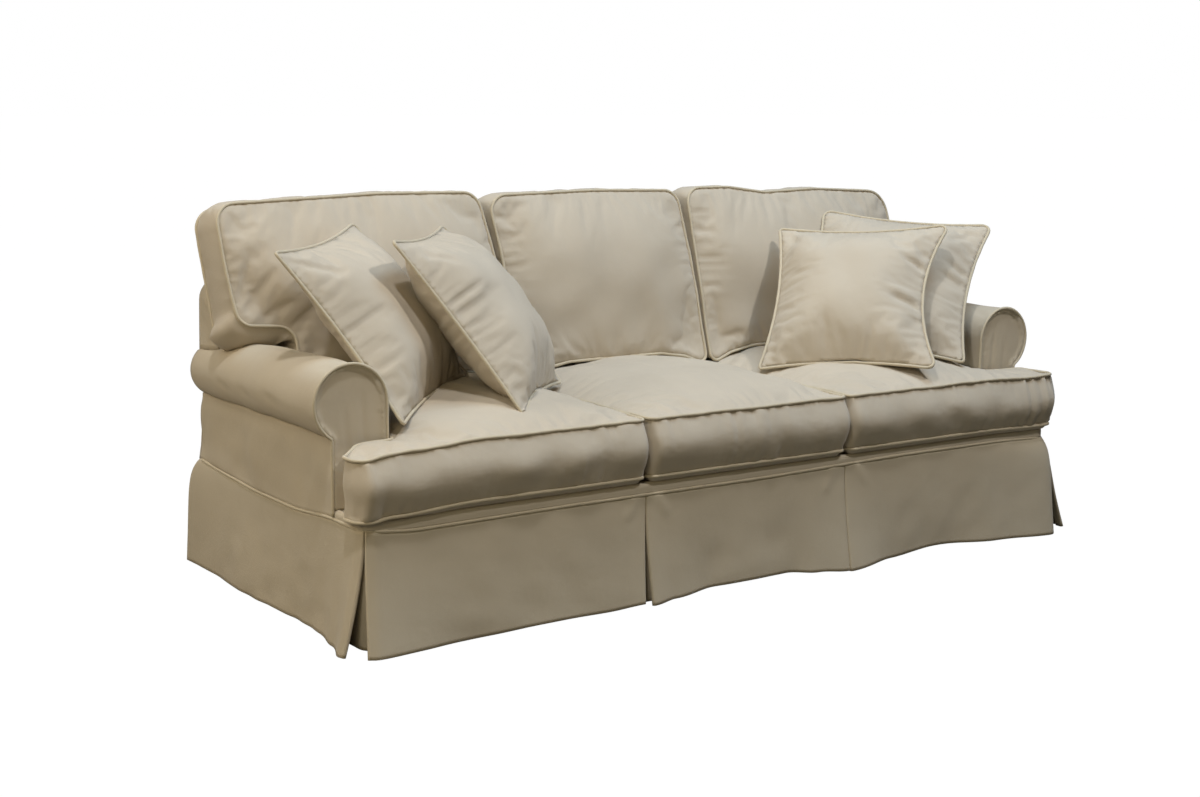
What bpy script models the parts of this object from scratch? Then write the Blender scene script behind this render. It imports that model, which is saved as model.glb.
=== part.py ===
"""Skirted slipcover for a three-seat sofa with rolled arms, with its seat, back and scatter cushions.

Sizes are metres, measured from the floor (z = 0) and from the middle of the seat (x = 0), with
the front towards -Y and the back of the cover leaning away from it. The whole model hangs on one
empty, which puts the origin under the top edge of the cover's back, where the sofa carries it.
The cover is hollow and open below. Every panel is one sheet of canvas, every cushion is one
filled solid, and the piping in each seam is a tube of its own.
"""

import math

import bpy
from mathutils import Matrix, Vector
from mathutils.geometry import delaunay_2d_cdt

# ------------------------------------------------------------------ cloth and seams
CLOTH = 0.0025            # thickness of the canvas
GAP = 0.0003              # between pieces that touch
CLEAR = 0.002             # between draped cloth and the edge below it
PIPING = 0.004            # radius of the piping
SEAM = 0.0006             # half the height that the piped skirt seam takes

# ------------------------------------------------------------------ frame of the cover
HALF_WIDTH = 1.040        # outside arm panels, from the middle
SEAM_FRONT = -0.468       # skirt seam in front
SEAM_BACK = 0.430         # skirt seam behind
FRONT_CORNER = 0.035      # radius of the seam's front corners
DECK_Z = 0.293            # cloth under the seat cushions
DECK_EDGE = 0.010         # how far the front border rolls over on to the deck

ARM_INNER = 0.915         # inside arm panel, from the middle
ARM_FRONT = -0.337        # arm front facing
ROLL_X = 0.998            # centre of the arm's roll, from the middle
ROLL_Z = 0.525            # its height at the front
ROLL_RADIUS = 0.083
ROLL_DROOP = 0.025        # how much lower the roll's centre lies at the back
ROLL_TAPER = 0.018        # how much smaller its radius is there
ROLL_END = -60            # degrees, where the roll tucks into the outside arm panel
ROLL_ANGLES = (180, 160, 140, 120, 100, 80, 62, 50, 30, 10, -10, -30, -45, ROLL_END)
BACK_SIDE_ANGLE = 58      # degrees, where the side of the back meets the roll

BACK_TOP = 0.730
BACK_TOP_CORNER = 0.050
OUTSIDE_LEAN = 0.065      # slope of the outside back, y for each metre of height
INSIDE_FOOT = 0.238       # inside back panel, at the height of the deck
INSIDE_LEAN = 0.175       # its slope, y for each metre of height

# ------------------------------------------------------------------ cushions
DIVIDE = 0.308            # seams between the three places, from the middle
SEAT_FRONT = -0.477
SEAT_REAR = 0.225
SEAT_SIDE = 0.899         # seat cushion beside the arm
SEAT_EAR = 1.066          # seat cushion in front of the arm
SEAT_EAR_REAR = -0.3485
SEAT_EAR_BEHIND = 1.038   # the ear's rear corner, from the middle
SEAT_TOP = 0.446          # height of the top welt
SEAT_BOTTOM = 0.311       # height of the bottom welt
SEAT_CROWN = 0.055
SEAT_REACH = 0.30         # distance from the welt at which the crown is full

FACE_Y = 0.100            # back cushion's front welt, at the height FACE_Z
FACE_Z = 0.470
LEAN = 0.25               # slope of the back cushions' front, y for each metre of height
REAR_ROOM = 0.0075        # from the back cushions' rear seam to the inside back
TOP_SINK = 0.022          # how much lower a back cushion's rear seam runs along the top
EAR_SAG = 0.040           # how much lower it runs under the ears, which sag over the arms
BACK_CROWN = 0.045
BACK_REACH = 0.20
BACK_SIDE = 0.907         # back cushion beside the arm

WELT_ROOM = 0.0075        # from a cushion's seam to the plane between two cushions
SCATTER_DRAWN_IN = 0.020  # how far the sides of a scatter cushion bow in
SCATTER_REACH = 0.20

SHARP = 0.001             # radius of a corner that is cut sharp

# How much lower the seat cushions' seams run out in the ears: x, drop
SINK = ((-0.97, 0.008), (-0.76, 0.0), (0.78, 0.0), (0.99, 0.005))

# Scatter cushions: name, size, centre x, y, z, turn, lean and spin in degrees, half thickness
SCATTER = (
    ("scatter_left_back", 0.465, (-0.813, -0.103, 0.673), 38.8, 37.2, 5.2, 0.066),
    ("scatter_left_front", 0.465, (-0.552, -0.111, 0.668), 50.4, 37.9, 0.1, 0.066),
    ("scatter_right_back", 0.480, (0.775, -0.119, 0.672), -49.3, 44.2, -4.8, 0.062),
    ("scatter_right_front", 0.470, (0.578, -0.190, 0.6545), -54.9, 41.9, 4.4, 0.062),
)


# ------------------------------------------------------------------ numbers along a line
def ease(t):
    """Smooth step from 0 to 1."""
    t = min(max(t, 0.0), 1.0)
    return t * t * (3.0 - 2.0 * t)


def along(rows, place, column=1):
    """Value at a place in a table whose first column is the place, eased between its rows."""
    if place <= rows[0][0]:
        return rows[0][column]
    for low, high in zip(rows, rows[1:]):
        if place <= high[0]:
            share = ease((place - low[0]) / (high[0] - low[0]))
            return low[column] + (high[column] - low[column]) * share
    return rows[-1][column]


def steps(start, end, count):
    """Even numbers from start to end, count + 1 of them."""
    return [start + (end - start) * k / count for k in range(count + 1)]


# ------------------------------------------------------------------ outlines
def rounded(corners, turn=30.0):
    """Closed outline with round corners, from rows of x, y and radius; turn is degrees a step."""
    points = []
    for i, (x, y, radius) in enumerate(corners):
        here = Vector((x, y))
        before = (Vector(corners[i - 1][:2]) - here).normalized()
        after = (Vector(corners[(i + 1) % len(corners)][:2]) - here).normalized()
        half = before.angle(after) / 2
        centre = here + (before + after).normalized() * radius / math.sin(half)
        start = here + before * radius / math.tan(half) - centre
        end = here + after * radius / math.tan(half) - centre
        sweep = math.atan2(start.x * end.y - start.y * end.x, start.dot(end))
        count = max(1, round(abs(math.degrees(sweep)) / turn))
        for angle in steps(0.0, sweep, count):
            points.append(centre + Matrix.Rotation(angle, 2) @ start)
    return points


def spaced(points, spacing):
    """The same closed outline with its long edges divided."""
    result = []
    for a, b in zip(points, points[1:] + points[:1]):
        count = max(1, round((b - a).length / spacing))
        result += [a.lerp(b, k / count) for k in range(count)]
    return result


def mitres(outline):
    """Outward step at each point of a counter-clockwise outline that moves its edges by 1."""
    result = []
    for i, here in enumerate(outline):
        a = (here - outline[i - 1]).normalized()
        b = (outline[(i + 1) % len(outline)] - here).normalized()
        out = Vector((a.y + b.y, -a.x - b.x)).normalized()
        result.append(out / max(out.dot(Vector((a.y, -a.x))), 0.5))
    return result


def edge_distance(point, outline):
    """Distance from a point to the nearest edge of a closed outline."""
    best = math.inf
    for a, b in zip(outline, outline[1:] + outline[:1]):
        edge = b - a
        share = min(max((point - a).dot(edge) / edge.length_squared, 0.0), 1.0)
        best = min(best, (a + edge * share - point).length)
    return best


def inside(point, outline):
    """Whether a point lies within a closed outline."""
    result = False
    for a, b in zip(outline, outline[1:] + outline[:1]):
        if (a.y > point.y) != (b.y > point.y):
            cross = a.x + (point.y - a.y) / (b.y - a.y) * (b.x - a.x)
            result ^= cross > point.x
    return result


def filled(outline, spacing, inset=None):
    """Points and triangles that fill an outline: its own points first, then a lattice inside.

    With inset, a row of points follows the outline at that distance, so that thin corners fill.
    """
    points = list(outline)
    inner = []
    if inset:
        for p, step in zip(outline, mitres(outline)):
            point = p - step * inset
            if all((point - other).length > inset / 2 for other in inner):
                inner.append(point)
    points += inner
    low_x = min(p.x for p in outline)
    high_x = max(p.x for p in outline)
    low_y = min(p.y for p in outline)
    high_y = max(p.y for p in outline)
    row_height = spacing * math.sqrt(0.75)
    clear = inset + 0.4 * spacing if inset else 0.55 * spacing
    for row in range(1, int((high_y - low_y) / row_height) + 1):
        for column in range(int((high_x - low_x) / spacing) + 2):
            shift = 0.5 * (row % 2) * spacing
            point = Vector((low_x + column * spacing + shift, low_y + row * row_height))
            if inside(point, outline) and edge_distance(point, outline) > clear:
                points.append(point)
    edges = [(i, (i + 1) % len(outline)) for i in range(len(outline))]
    _, _, faces, origin, _, _ = delaunay_2d_cdt(points, edges, [], 1, 1e-7)
    return points, [[origin[corner][0] for corner in face] for face in faces]


# ------------------------------------------------------------------ objects
def canvas(name, colour, roughness=0.9):
    """Smooth brushed canvas."""
    material = bpy.data.materials.new(name)
    material.use_nodes = True
    shader = material.node_tree.nodes["Principled BSDF"]
    shader.inputs["Base Color"].default_value = (*colour, 1.0)
    shader.inputs["Roughness"].default_value = roughness
    shader.inputs["Metallic"].default_value = 0.0
    return material


def add(name, data, material, pose=None):
    """Object under the cover's origin, with one material."""
    thing = bpy.data.objects.new(name, data)
    bpy.context.scene.collection.objects.link(thing)
    thing.parent = ORIGIN
    if pose is not None:
        thing.matrix_local = pose
    data.materials.append(material)
    return thing


def add_mesh(name, points, faces, material, pose=None):
    """Smooth shaded mesh object."""
    mesh = bpy.data.meshes.new(name)
    mesh.from_pydata(points, [], faces)
    mesh.shade_smooth()
    return add(name, mesh, material, pose)


def add_cloth(name, points, faces, material, outer):
    """Sheet of canvas whose outer face is the given mesh; outer is a direction that it faces."""
    thing = add_mesh(name, points, faces, material)
    facing = sum((face.normal * face.area for face in thing.data.polygons), Vector())
    if facing.dot(outer) < 0:
        thing.data.flip_normals()
    thickness = thing.modifiers.new("canvas", "SOLIDIFY")
    thickness.thickness = CLOTH
    thickness.offset = -1
    thickness.use_even_offset = True
    thickness.use_quality_normals = True
    return thing


def sheet(name, rows, material, outer):
    """Panel from a grid: rows of points, all of one length."""
    width = len(rows[0])
    points = [point for row in rows for point in row]
    faces = []
    for r in range(len(rows) - 1):
        for c in range(width - 1):
            corner = r * width + c
            faces.append((corner, corner + 1, corner + width + 1, corner + width))
    return add_cloth(name, points, faces, material, Vector(outer))


def cut_sheet(name, outline, spacing, place, material, outer):
    """Panel cut to an outline; place turns its two numbers into a point of the model."""
    points, faces = filled(outline, spacing)
    return add_cloth(name, [place(p.x, p.y) for p in points], faces, material, Vector(outer))


def piping(name, points, material, closed=True, pose=None):
    """Covered cord, a plain tube along the points."""
    curve = bpy.data.curves.new(name, "CURVE")
    curve.dimensions = "3D"
    curve.bevel_depth = PIPING
    curve.bevel_resolution = 0
    curve.use_fill_caps = not closed
    spline = curve.splines.new("POLY")
    spline.points.add(len(points) - 1)
    for knot, point in zip(spline.points, points):
        knot.co = (*point, 1.0)
    spline.use_cyclic_u = closed
    return add(name, curve, material, pose)


def filled_solid(name, outline, spacing, depth, front, back, bulge, place, material, pose=None,
                 inset=None):
    """One filled cushion: two crowned faces on one outline, depth apart, with a boxing between.

    front and back give a face's height over the seam from a point and its distance to the seam,
    bulge gives how far the boxing swells from a point and its outward step, and place turns a
    point of the outline and a height into a point of the model.
    """
    points, faces = filled(outline, spacing, inset)
    rim = len(outline)
    out = mitres(outline)
    reach = [edge_distance(p, outline) if i >= rim else 0.0 for i, p in enumerate(points)]
    vertices = [place(p, depth / 2 + front(p, d)) for p, d in zip(points, reach)]
    rings = [list(range(rim))]
    boxing_rows = 3 if depth else 0
    for row in range(1, boxing_rows):
        share = row / boxing_rows
        rings.append(list(range(len(vertices), len(vertices) + rim)))
        for p, step in zip(outline, out):
            swell = bulge(p, step) * math.sin(math.pi * share)
            vertices.append(place(p + swell, depth / 2 - depth * share))
    first_back = rim if depth == 0 else 0
    base = len(vertices) - first_back
    for p, d in list(zip(points, reach))[first_back:]:
        vertices.append(place(p, -depth / 2 - back(p, d)))
    if depth:
        rings.append(list(range(base, base + rim)))
    mesh_faces = [tuple(face) for face in faces]
    for face in faces:
        corners = [base + c if c >= first_back else c for c in face]
        mesh_faces.append(tuple(reversed(corners)))
    for upper, lower in zip(rings, rings[1:]):
        for i in range(rim):
            j = (i + 1) % rim
            mesh_faces.append((upper[i], lower[i], lower[j], upper[j]))
    return add_mesh(name, vertices, mesh_faces, material, pose)


def seam_piping(name, outline, level, lift, place, material, pose=None):
    """Piping along a cushion's seam: lift is 1 above the seam, -1 below it, 0 straight out."""
    room = PIPING + GAP
    aside = room * (math.sqrt(0.5) if lift else 1.0)
    points = []
    for p, step in zip(outline, mitres(outline)):
        points.append(place(p + step * aside, level + lift * room * math.sqrt(0.5)))
    return piping(name, points, material, pose=pose)


# ------------------------------------------------------------------ the seam that carries the skirt
FRONT_RUN = HALF_WIDTH - FRONT_CORNER
FRONT_ARC = FRONT_CORNER * math.pi / 2
SIDE_RUN = SEAM_BACK - SEAM_FRONT - FRONT_CORNER
FRONT_CORNER_AT = FRONT_RUN + FRONT_ARC / 2
BACK_CORNER_AT = FRONT_RUN + FRONT_ARC + SIDE_RUN
HALF_ROUND = BACK_CORNER_AT + HALF_WIDTH


def side_at(y):
    """Distance along the seam of a place on the side."""
    return FRONT_RUN + FRONT_ARC + y - SEAM_FRONT - FRONT_CORNER


def seam_plan(s):
    """Point and outward direction of the seam, s along it from the middle of the front.

    Positive s runs to the right and round to the middle of the back, negative s to the left.
    At the sharp back corners the direction is the mitre's, so that both sides move by 1.
    """
    if s > HALF_ROUND:
        s -= 2 * HALF_ROUND
    mirror = -1.0 if s < 0 else 1.0
    s = abs(s)
    if s <= FRONT_RUN:
        point, out = (s, SEAM_FRONT), (0.0, -1.0)
    elif s <= FRONT_RUN + FRONT_ARC:
        angle = (s - FRONT_RUN) / FRONT_CORNER
        out = (math.sin(angle), -math.cos(angle))
        point = (FRONT_RUN + FRONT_CORNER * out[0],
                 SEAM_FRONT + FRONT_CORNER + FRONT_CORNER * out[1])
    elif s < BACK_CORNER_AT - GAP:
        point = (HALF_WIDTH, SEAM_FRONT + FRONT_CORNER + s - FRONT_RUN - FRONT_ARC)
        out = (1.0, 0.0)
    elif s <= BACK_CORNER_AT + GAP:
        point, out = (HALF_WIDTH, SEAM_BACK), (1.0, 1.0)
    else:
        point = (HALF_ROUND - s, SEAM_BACK)
        out = (0.0, 1.0)
    return Vector((mirror * point[0], point[1])), Vector((mirror * out[0], out[1]))


# Height of the seam: distance along it, height. It sags along the sides and dips by the corner.
SEAM_HEIGHT = (
    (-HALF_ROUND, 0.275), (-BACK_CORNER_AT, 0.275), (-side_at(0.31), 0.267),
    (-side_at(0.10), 0.258), (-side_at(-0.14), 0.259), (-side_at(-0.31), 0.275),
    (-FRONT_CORNER_AT, 0.275), (-0.93, 0.263), (-0.55, 0.268), (0.05, 0.268),
    (0.50, 0.276), (0.86, 0.275), (FRONT_CORNER_AT, 0.268), (side_at(-0.10), 0.261),
    (side_at(0.20), 0.260), (BACK_CORNER_AT, 0.275), (HALF_ROUND, 0.275),
)


def seam_height(s):
    """Height of the seam at a distance along it, straight from station to station."""
    if s > HALF_ROUND:
        s -= 2 * HALF_ROUND
    for (low_s, low_z), (high_s, high_z) in zip(SEAM_HEIGHT, SEAM_HEIGHT[1:]):
        if s <= high_s:
            return low_z + (high_z - low_z) * (s - low_s) / (high_s - low_s)
    return SEAM_HEIGHT[-1][1]


def seam_stops(start, end, spacing=0.11):
    """Distances along the seam from start to end, close together round the front corners."""
    stops = [start, end] + [s for s, _ in SEAM_HEIGHT] + [2 * HALF_ROUND - BACK_CORNER_AT]
    for s in steps(FRONT_RUN, FRONT_RUN + FRONT_ARC, 3):
        stops += [s, -s]
    stops = sorted(s for s in set(stops) if start <= s <= end)
    result = [stops[0]]
    for a, b in zip(stops, stops[1:]):
        if b - a > GAP:
            result += steps(a, b, max(1, round((b - a) / spacing)))[1:]
    return result


# ------------------------------------------------------------------ surfaces of the cover
def inside_back_y(z):
    """Front of the inside back panel, on which the back cushions lean."""
    return INSIDE_FOOT + INSIDE_LEAN * (z - DECK_Z)


def outside_back_y(z):
    """Outside of the outside back panel."""
    return SEAM_BACK - OUTSIDE_LEAN * (z - DECK_Z)


def before_outside_back(z):
    """Rear edge of the panels that the outside back panel is sewn to."""
    return outside_back_y(z) - CLOTH - GAP


def roll(y):
    """Centre and radius of the arm's roll at a place along it."""
    share = ((y - ARM_FRONT) / (SEAM_BACK - ARM_FRONT)) ** 2
    return ROLL_X, ROLL_Z - ROLL_DROOP * share, ROLL_RADIUS - ROLL_TAPER * share


def on_roll(y, degrees, grow=0.0):
    """Point of the roll's section, x and z, at an angle from outward."""
    x, z, radius = roll(y)
    angle = math.radians(degrees)
    return x + (radius + grow) * math.cos(angle), z + (radius + grow) * math.sin(angle)


# ------------------------------------------------------------------ panels of the back and deck
def back_panels(cover):
    """Outside back, inside back and the border between them."""
    side_y = inside_back_y(ROLL_Z + ROLL_RADIUS)
    inner = HALF_WIDTH - CLOTH - GAP
    inner_top = BACK_TOP - CLOTH - GAP
    notch = [on_roll(side_y, a, CLEAR) for a in steps(180, BACK_SIDE_ANGLE, 7)]
    arm_x = ARM_INNER - GAP
    right = [(arm_x, DECK_Z - 2 * CLOTH), (arm_x, notch[0][1])]
    right += [(min(max(x, arm_x), inner), z) for x, z in notch[1:]]
    top = rounded([(-inner, inner_top, BACK_TOP_CORNER), (-inner, 0.5, SHARP), (inner, 0.5, SHARP),
                   (inner, inner_top, BACK_TOP_CORNER)])
    top_left = [p for p in top if p.y > 0.6 and p.x < 0]
    top_right = [p for p in top if p.y > 0.6 and p.x > 0]
    outline = [Vector(p) for p in right] + top_right + top_left
    outline += [Vector((-x, z)) for x, z in reversed(right)]
    cut_sheet("inside_back", spaced(outline, 0.2), 0.2,
              lambda x, z: (x, inside_back_y(z), z), cover, (0, -1, 0))

    rear = SEAM_BACK - 0.01
    roll_edge = [on_roll(rear, a) for a in steps(ROLL_END, BACK_SIDE_ANGLE, 6)]
    low = seam_height(HALF_ROUND) + SEAM + 2 * GAP
    corner = HALF_WIDTH - SEAM
    silhouette = [(corner, low)] + roll_edge + [(HALF_WIDTH, roll_edge[-1][1] + 0.004)]
    outer_top = rounded([(-HALF_WIDTH, BACK_TOP, BACK_TOP_CORNER), (-HALF_WIDTH, 0.5, SHARP),
                         (HALF_WIDTH, 0.5, SHARP), (HALF_WIDTH, BACK_TOP, BACK_TOP_CORNER)])
    crest = [p for p in outer_top if p.y > 0.6 and p.x > 0]
    crest += [p for p in outer_top if p.y > 0.6 and p.x < 0]
    outline = [Vector(p) for p in silhouette] + crest
    outline += [Vector((-x, z)) for x, z in reversed(silhouette)]
    cut_sheet("outside_back", spaced(outline, 0.2), 0.2,
              lambda x, z: (x, outside_back_y(z), z), cover, (0, 1, 0))

    start = roll_edge[-1][1] + CLEAR + 0.012
    path = [Vector((HALF_WIDTH, start))] + crest + [Vector((-HALF_WIDTH, start))]
    path = spaced(path, 0.2)
    path = path[:path.index(Vector((-HALF_WIDTH, start))) + 1]
    rows = [[(p.x, y_front * (1 - t) + y_back * t, p.y) for t in (0, 0.5, 1)]
            for p in path
            for y_front, y_back in [(inside_back_y(p.y), before_outside_back(p.y))]]
    sheet("back_border", rows, cover, (0, 0, 1))


def deck_panels(cover):
    """Deck cloth, T-shaped, and the low border round its front."""
    room = DECK_EDGE + GAP
    ear_x = HALF_WIDTH - room
    ear_rear = ARM_FRONT + 0.006
    rear = inside_back_y(DECK_Z - 2 * CLOTH) - 2 * GAP
    corner = FRONT_CORNER - room
    inner = ARM_INNER - GAP
    outline = rounded([
        (-ear_x, SEAM_FRONT + room, corner), (ear_x, SEAM_FRONT + room, corner),
        (ear_x, ear_rear, SHARP), (inner, ear_rear, SHARP), (inner, rear, SHARP),
        (-inner, rear, SHARP), (-inner, ear_rear, SHARP), (-ear_x, ear_rear, SHARP)])
    cut_sheet("deck", spaced(outline, 0.2), 0.2,
              lambda x, y: (x, y, DECK_Z), cover, (0, 0, 1))

    end = side_at(ARM_FRONT - GAP)
    rows = []
    over_edge = ((0.0, None), (0.0, 0.008), (0.002, 0.002), (0.006, 0.0), (DECK_EDGE, 0.0))
    for inset, below in over_edge:
        row = []
        for s in seam_stops(-end, end):
            point, out = seam_plan(s)
            z = seam_height(s) + SEAM if below is None else DECK_Z - below
            row.append((point.x - out.x * inset, point.y - out.y * inset, z))
        rows.append(row)
    sheet("front_border", rows, cover, (0, -1, 0))


# ------------------------------------------------------------------ panels of the arms
def arm_panels(cover, trim, name, side):
    """Arm cover, outside arm, arm front and its piping; side is 1 on the right, -1 on the left."""
    front = ARM_FRONT + CLOTH + GAP
    columns = []
    foot = DECK_Z + 2 * GAP
    for share in (0.0, 0.35, 0.7):
        columns.append((None, share))
    columns += [(angle, 1.0) for angle in ROLL_ANGLES]
    rows = []
    for t in steps(0.0, 1.0, 6):
        row = []
        for angle, share in columns:
            outer = angle is not None and angle < BACK_SIDE_ANGLE
            level = foot + (ROLL_Z - foot) * share if angle is None else on_roll(0.25, angle)[1]
            end = before_outside_back(level) if outer else inside_back_y(level) + 0.008
            y = front + (end - front) * t
            if angle is None:
                x, z = ARM_INNER, foot + (roll(y)[1] - foot) * share
                x += (on_roll(y, 180)[0] - ARM_INNER) * share
            else:
                x, z = on_roll(y, angle)
            row.append((side * x, y, z))
        rows.append(row)
    sheet(f"arm_cover_{name}", rows, cover, (0, 0, 1))

    rows = []
    ends = sorted(side * side_at(y) for y in (front, SEAM_BACK - 2 * CLOTH))
    stops = sorted(abs(s) for s in seam_stops(*ends))
    for share in (0.0, 0.5, 1.0):
        row = []
        for s in stops:
            y = seam_plan(s)[0].y
            neck_x, neck_z = on_roll(y, ROLL_END)
            low = seam_height(side * s) + SEAM
            z = low + (neck_z - 2 * GAP - low) * share
            if s == stops[-1]:
                y = before_outside_back(z) - SEAM
            row.append((side * (HALF_WIDTH + (neck_x - HALF_WIDTH) * share), y, z))
        rows.append(row)
    sheet(f"outside_arm_{name}", rows, cover, (side, 0, 0))

    low = DECK_Z + 2 * GAP
    arch = [on_roll(ARM_FRONT, a) for a in reversed(ROLL_ANGLES)]
    outline = [(ARM_INNER, low), (HALF_WIDTH, low)] + arch
    outline = [Vector((side * x, z)) for x, z in outline]
    if side < 0:
        outline.reverse()
    cut_sheet(f"arm_front_{name}", spaced(outline, 0.15), 0.06,
              lambda x, z: (x, ARM_FRONT, z), cover, (0, -1, 0))

    room = PIPING + GAP
    leg = ARM_INNER - room
    path = [(leg, low + room)] + [(leg, z) for z in (0.36, 0.45)]
    neck = (on_roll(ARM_FRONT, ROLL_END)[0] + room - ROLL_X) / (ROLL_RADIUS + room)
    angles = ROLL_ANGLES[:-1] + (-math.degrees(math.acos(neck)),)
    path += [on_roll(ARM_FRONT, a, room) for a in angles]
    foot = seam_height(side * side_at(ARM_FRONT)) + SEAM + 2 * PIPING
    path += [(HALF_WIDTH + room, z) for z in (0.42, 0.34, foot)]
    piping(f"piping_arm_{name}", [(side * x, ARM_FRONT + CLOTH / 2, z) for x, z in path],
           trim, closed=False)


# ------------------------------------------------------------------ skirt
# Hem of each panel: share along the panel, how far it stands out from the seam, how far it
# moves along the seam, and how high it hangs.
HEM_FRONT_LEFT = (
    (0.0, 0.044, -0.018, 0.004), (0.3, 0.026, 0.0, 0.004), (0.65, 0.020, 0.0, 0.009),
    (0.86, 0.026, 0.0, 0.008), (1.0, 0.026, -0.012, 0.012))
HEM_FRONT_CENTRE = (
    (0.0, 0.032, 0.004, 0.006), (0.12, 0.022, 0.0, 0.012), (0.32, 0.010, 0.0, 0.020),
    (0.68, 0.012, 0.0, 0.021), (0.84, 0.030, 0.0, 0.012), (1.0, 0.034, -0.006, 0.004))
HEM_FRONT_RIGHT = (
    (0.0, 0.042, 0.0, 0.003), (0.2, 0.022, 0.0, 0.012), (0.42, 0.010, 0.0, 0.021),
    (0.72, 0.026, 0.0, 0.011), (1.0, 0.046, 0.020, 0.003))
HEM_SIDE_LEFT = (
    (0.0, 0.020, -0.060, 0.003), (0.16, 0.013, -0.012, 0.003), (0.33, 0.017, 0.0, 0.003),
    (0.55, 0.011, 0.0, 0.004), (0.8, 0.012, 0.0, 0.008), (0.9, 0.028, 0.0, 0.004),
    (1.0, 0.054, 0.004, 0.003))
HEM_SIDE_RIGHT = (
    (0.0, 0.092, -0.006, 0.003), (0.12, 0.040, 0.0, 0.005), (0.3, 0.012, 0.0, 0.008),
    (0.6, 0.017, 0.0, 0.004), (0.84, 0.012, 0.012, 0.006), (1.0, 0.020, 0.060, 0.003))
HEM_BACK = (
    (0.0, 0.058, 0.010, 0.003), (0.12, 0.046, 0.0, 0.006), (0.3, 0.052, 0.0, 0.004),
    (0.5, 0.043, 0.0, 0.008), (0.7, 0.051, 0.0, 0.004), (0.88, 0.045, 0.0, 0.006),
    (1.0, 0.058, -0.010, 0.003))

OPEN = 0.0025             # half the opening between two panels at the seam

# Panels: name, start and end along the seam, direction that the panel faces, hem
SKIRT = (
    ("skirt_front_left", -FRONT_CORNER_AT + OPEN, -DIVIDE - OPEN, (0, -1), HEM_FRONT_LEFT),
    ("skirt_front_centre", -DIVIDE + OPEN, DIVIDE - OPEN, (0, -1), HEM_FRONT_CENTRE),
    ("skirt_front_right", DIVIDE + OPEN, FRONT_CORNER_AT - OPEN, (0, -1), HEM_FRONT_RIGHT),
    ("skirt_side_right", FRONT_CORNER_AT + OPEN, BACK_CORNER_AT - OPEN, (1, 0), HEM_SIDE_RIGHT),
    ("skirt_back", BACK_CORNER_AT + 2 * OPEN, 2 * HALF_ROUND - BACK_CORNER_AT - 2 * OPEN,
     (0, 1), HEM_BACK),
    ("skirt_side_left", -BACK_CORNER_AT + OPEN, -FRONT_CORNER_AT - OPEN, (-1, 0), HEM_SIDE_LEFT),
)

# Underlays behind the openings: name, middle, half width, hem out from the seam
UNDERLAYS = (
    ("underlay_front_left_corner", -FRONT_CORNER_AT, 0.085, 0.006),
    ("underlay_front_left", -DIVIDE, 0.075, 0.012),
    ("underlay_front_right", DIVIDE, 0.075, 0.018),
    ("underlay_front_right_corner", FRONT_CORNER_AT, 0.085, 0.006),
    ("underlay_back_right_corner", BACK_CORNER_AT, 0.085, 0.006),
    ("underlay_back_left_corner", 2 * HALF_ROUND - BACK_CORNER_AT, 0.085, 0.006),
)
UNDERLAY_HEM = 0.008      # height of an underlay's hem
HANG = (0.0, 0.18, 0.4, 0.7, 1.0)     # rows of a skirt panel, seam to hem
KICK = 1.5                # how the flare grows towards the hem


def skirt_panel(cloth, name, start, end, facing, hem):
    """One panel, from the seam to its own hem."""
    stops = seam_stops(start, end, 0.08)
    towards = Vector((-facing[1], facing[0]))
    rows = []
    for t in HANG:
        row = []
        for s in stops:
            share = (s - start) / (end - start)
            base, _ = seam_plan(s)
            out = along(hem, share, 1) * t ** KICK
            aside = along(hem, share, 2) * t ** KICK
            top = seam_height(s) - SEAM
            bottom = along(hem, share, 3)
            point = base + Vector(facing) * out + towards * aside
            row.append((point.x, point.y, top + (bottom - top) * t))
        rows.append(row)
    sheet(name, rows, cloth, (*facing, 0))


def underlay(cloth, name, middle, half_width, hem_out):
    """Strip behind an opening of the skirt, hung from the same seam."""
    rows = []
    behind = CLOTH + 2 * GAP
    for t in HANG[::2] + (1.0,) if HANG[-1] not in HANG[::2] else HANG[::2]:
        row = []
        for s in seam_stops(middle - half_width, middle + half_width, 0.06):
            base, out = seam_plan(s)
            step = hem_out * t - behind - 0.004 * t
            top = seam_height(s) - SEAM
            z = top + (UNDERLAY_HEM - top) * t
            row.append((base.x + out.x * step, base.y + out.y * step, z))
        rows.append(row)
    _, out = seam_plan(middle)
    sheet(name, rows, cloth, (out.x, out.y, 0))


def skirt(cloth, trim):
    """All panels, the underlays and the piping in the seam."""
    for row in SKIRT:
        skirt_panel(cloth, *row)
    for row in UNDERLAYS:
        underlay(cloth, *row)
    points = []
    for s in seam_stops(-HALF_ROUND, HALF_ROUND)[:-1]:
        base, out = seam_plan(s)
        out = out * (PIPING + GAP)
        points.append((base.x + out.x, base.y + out.y, seam_height(s)))
    piping("piping_skirt", points, trim)


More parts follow.
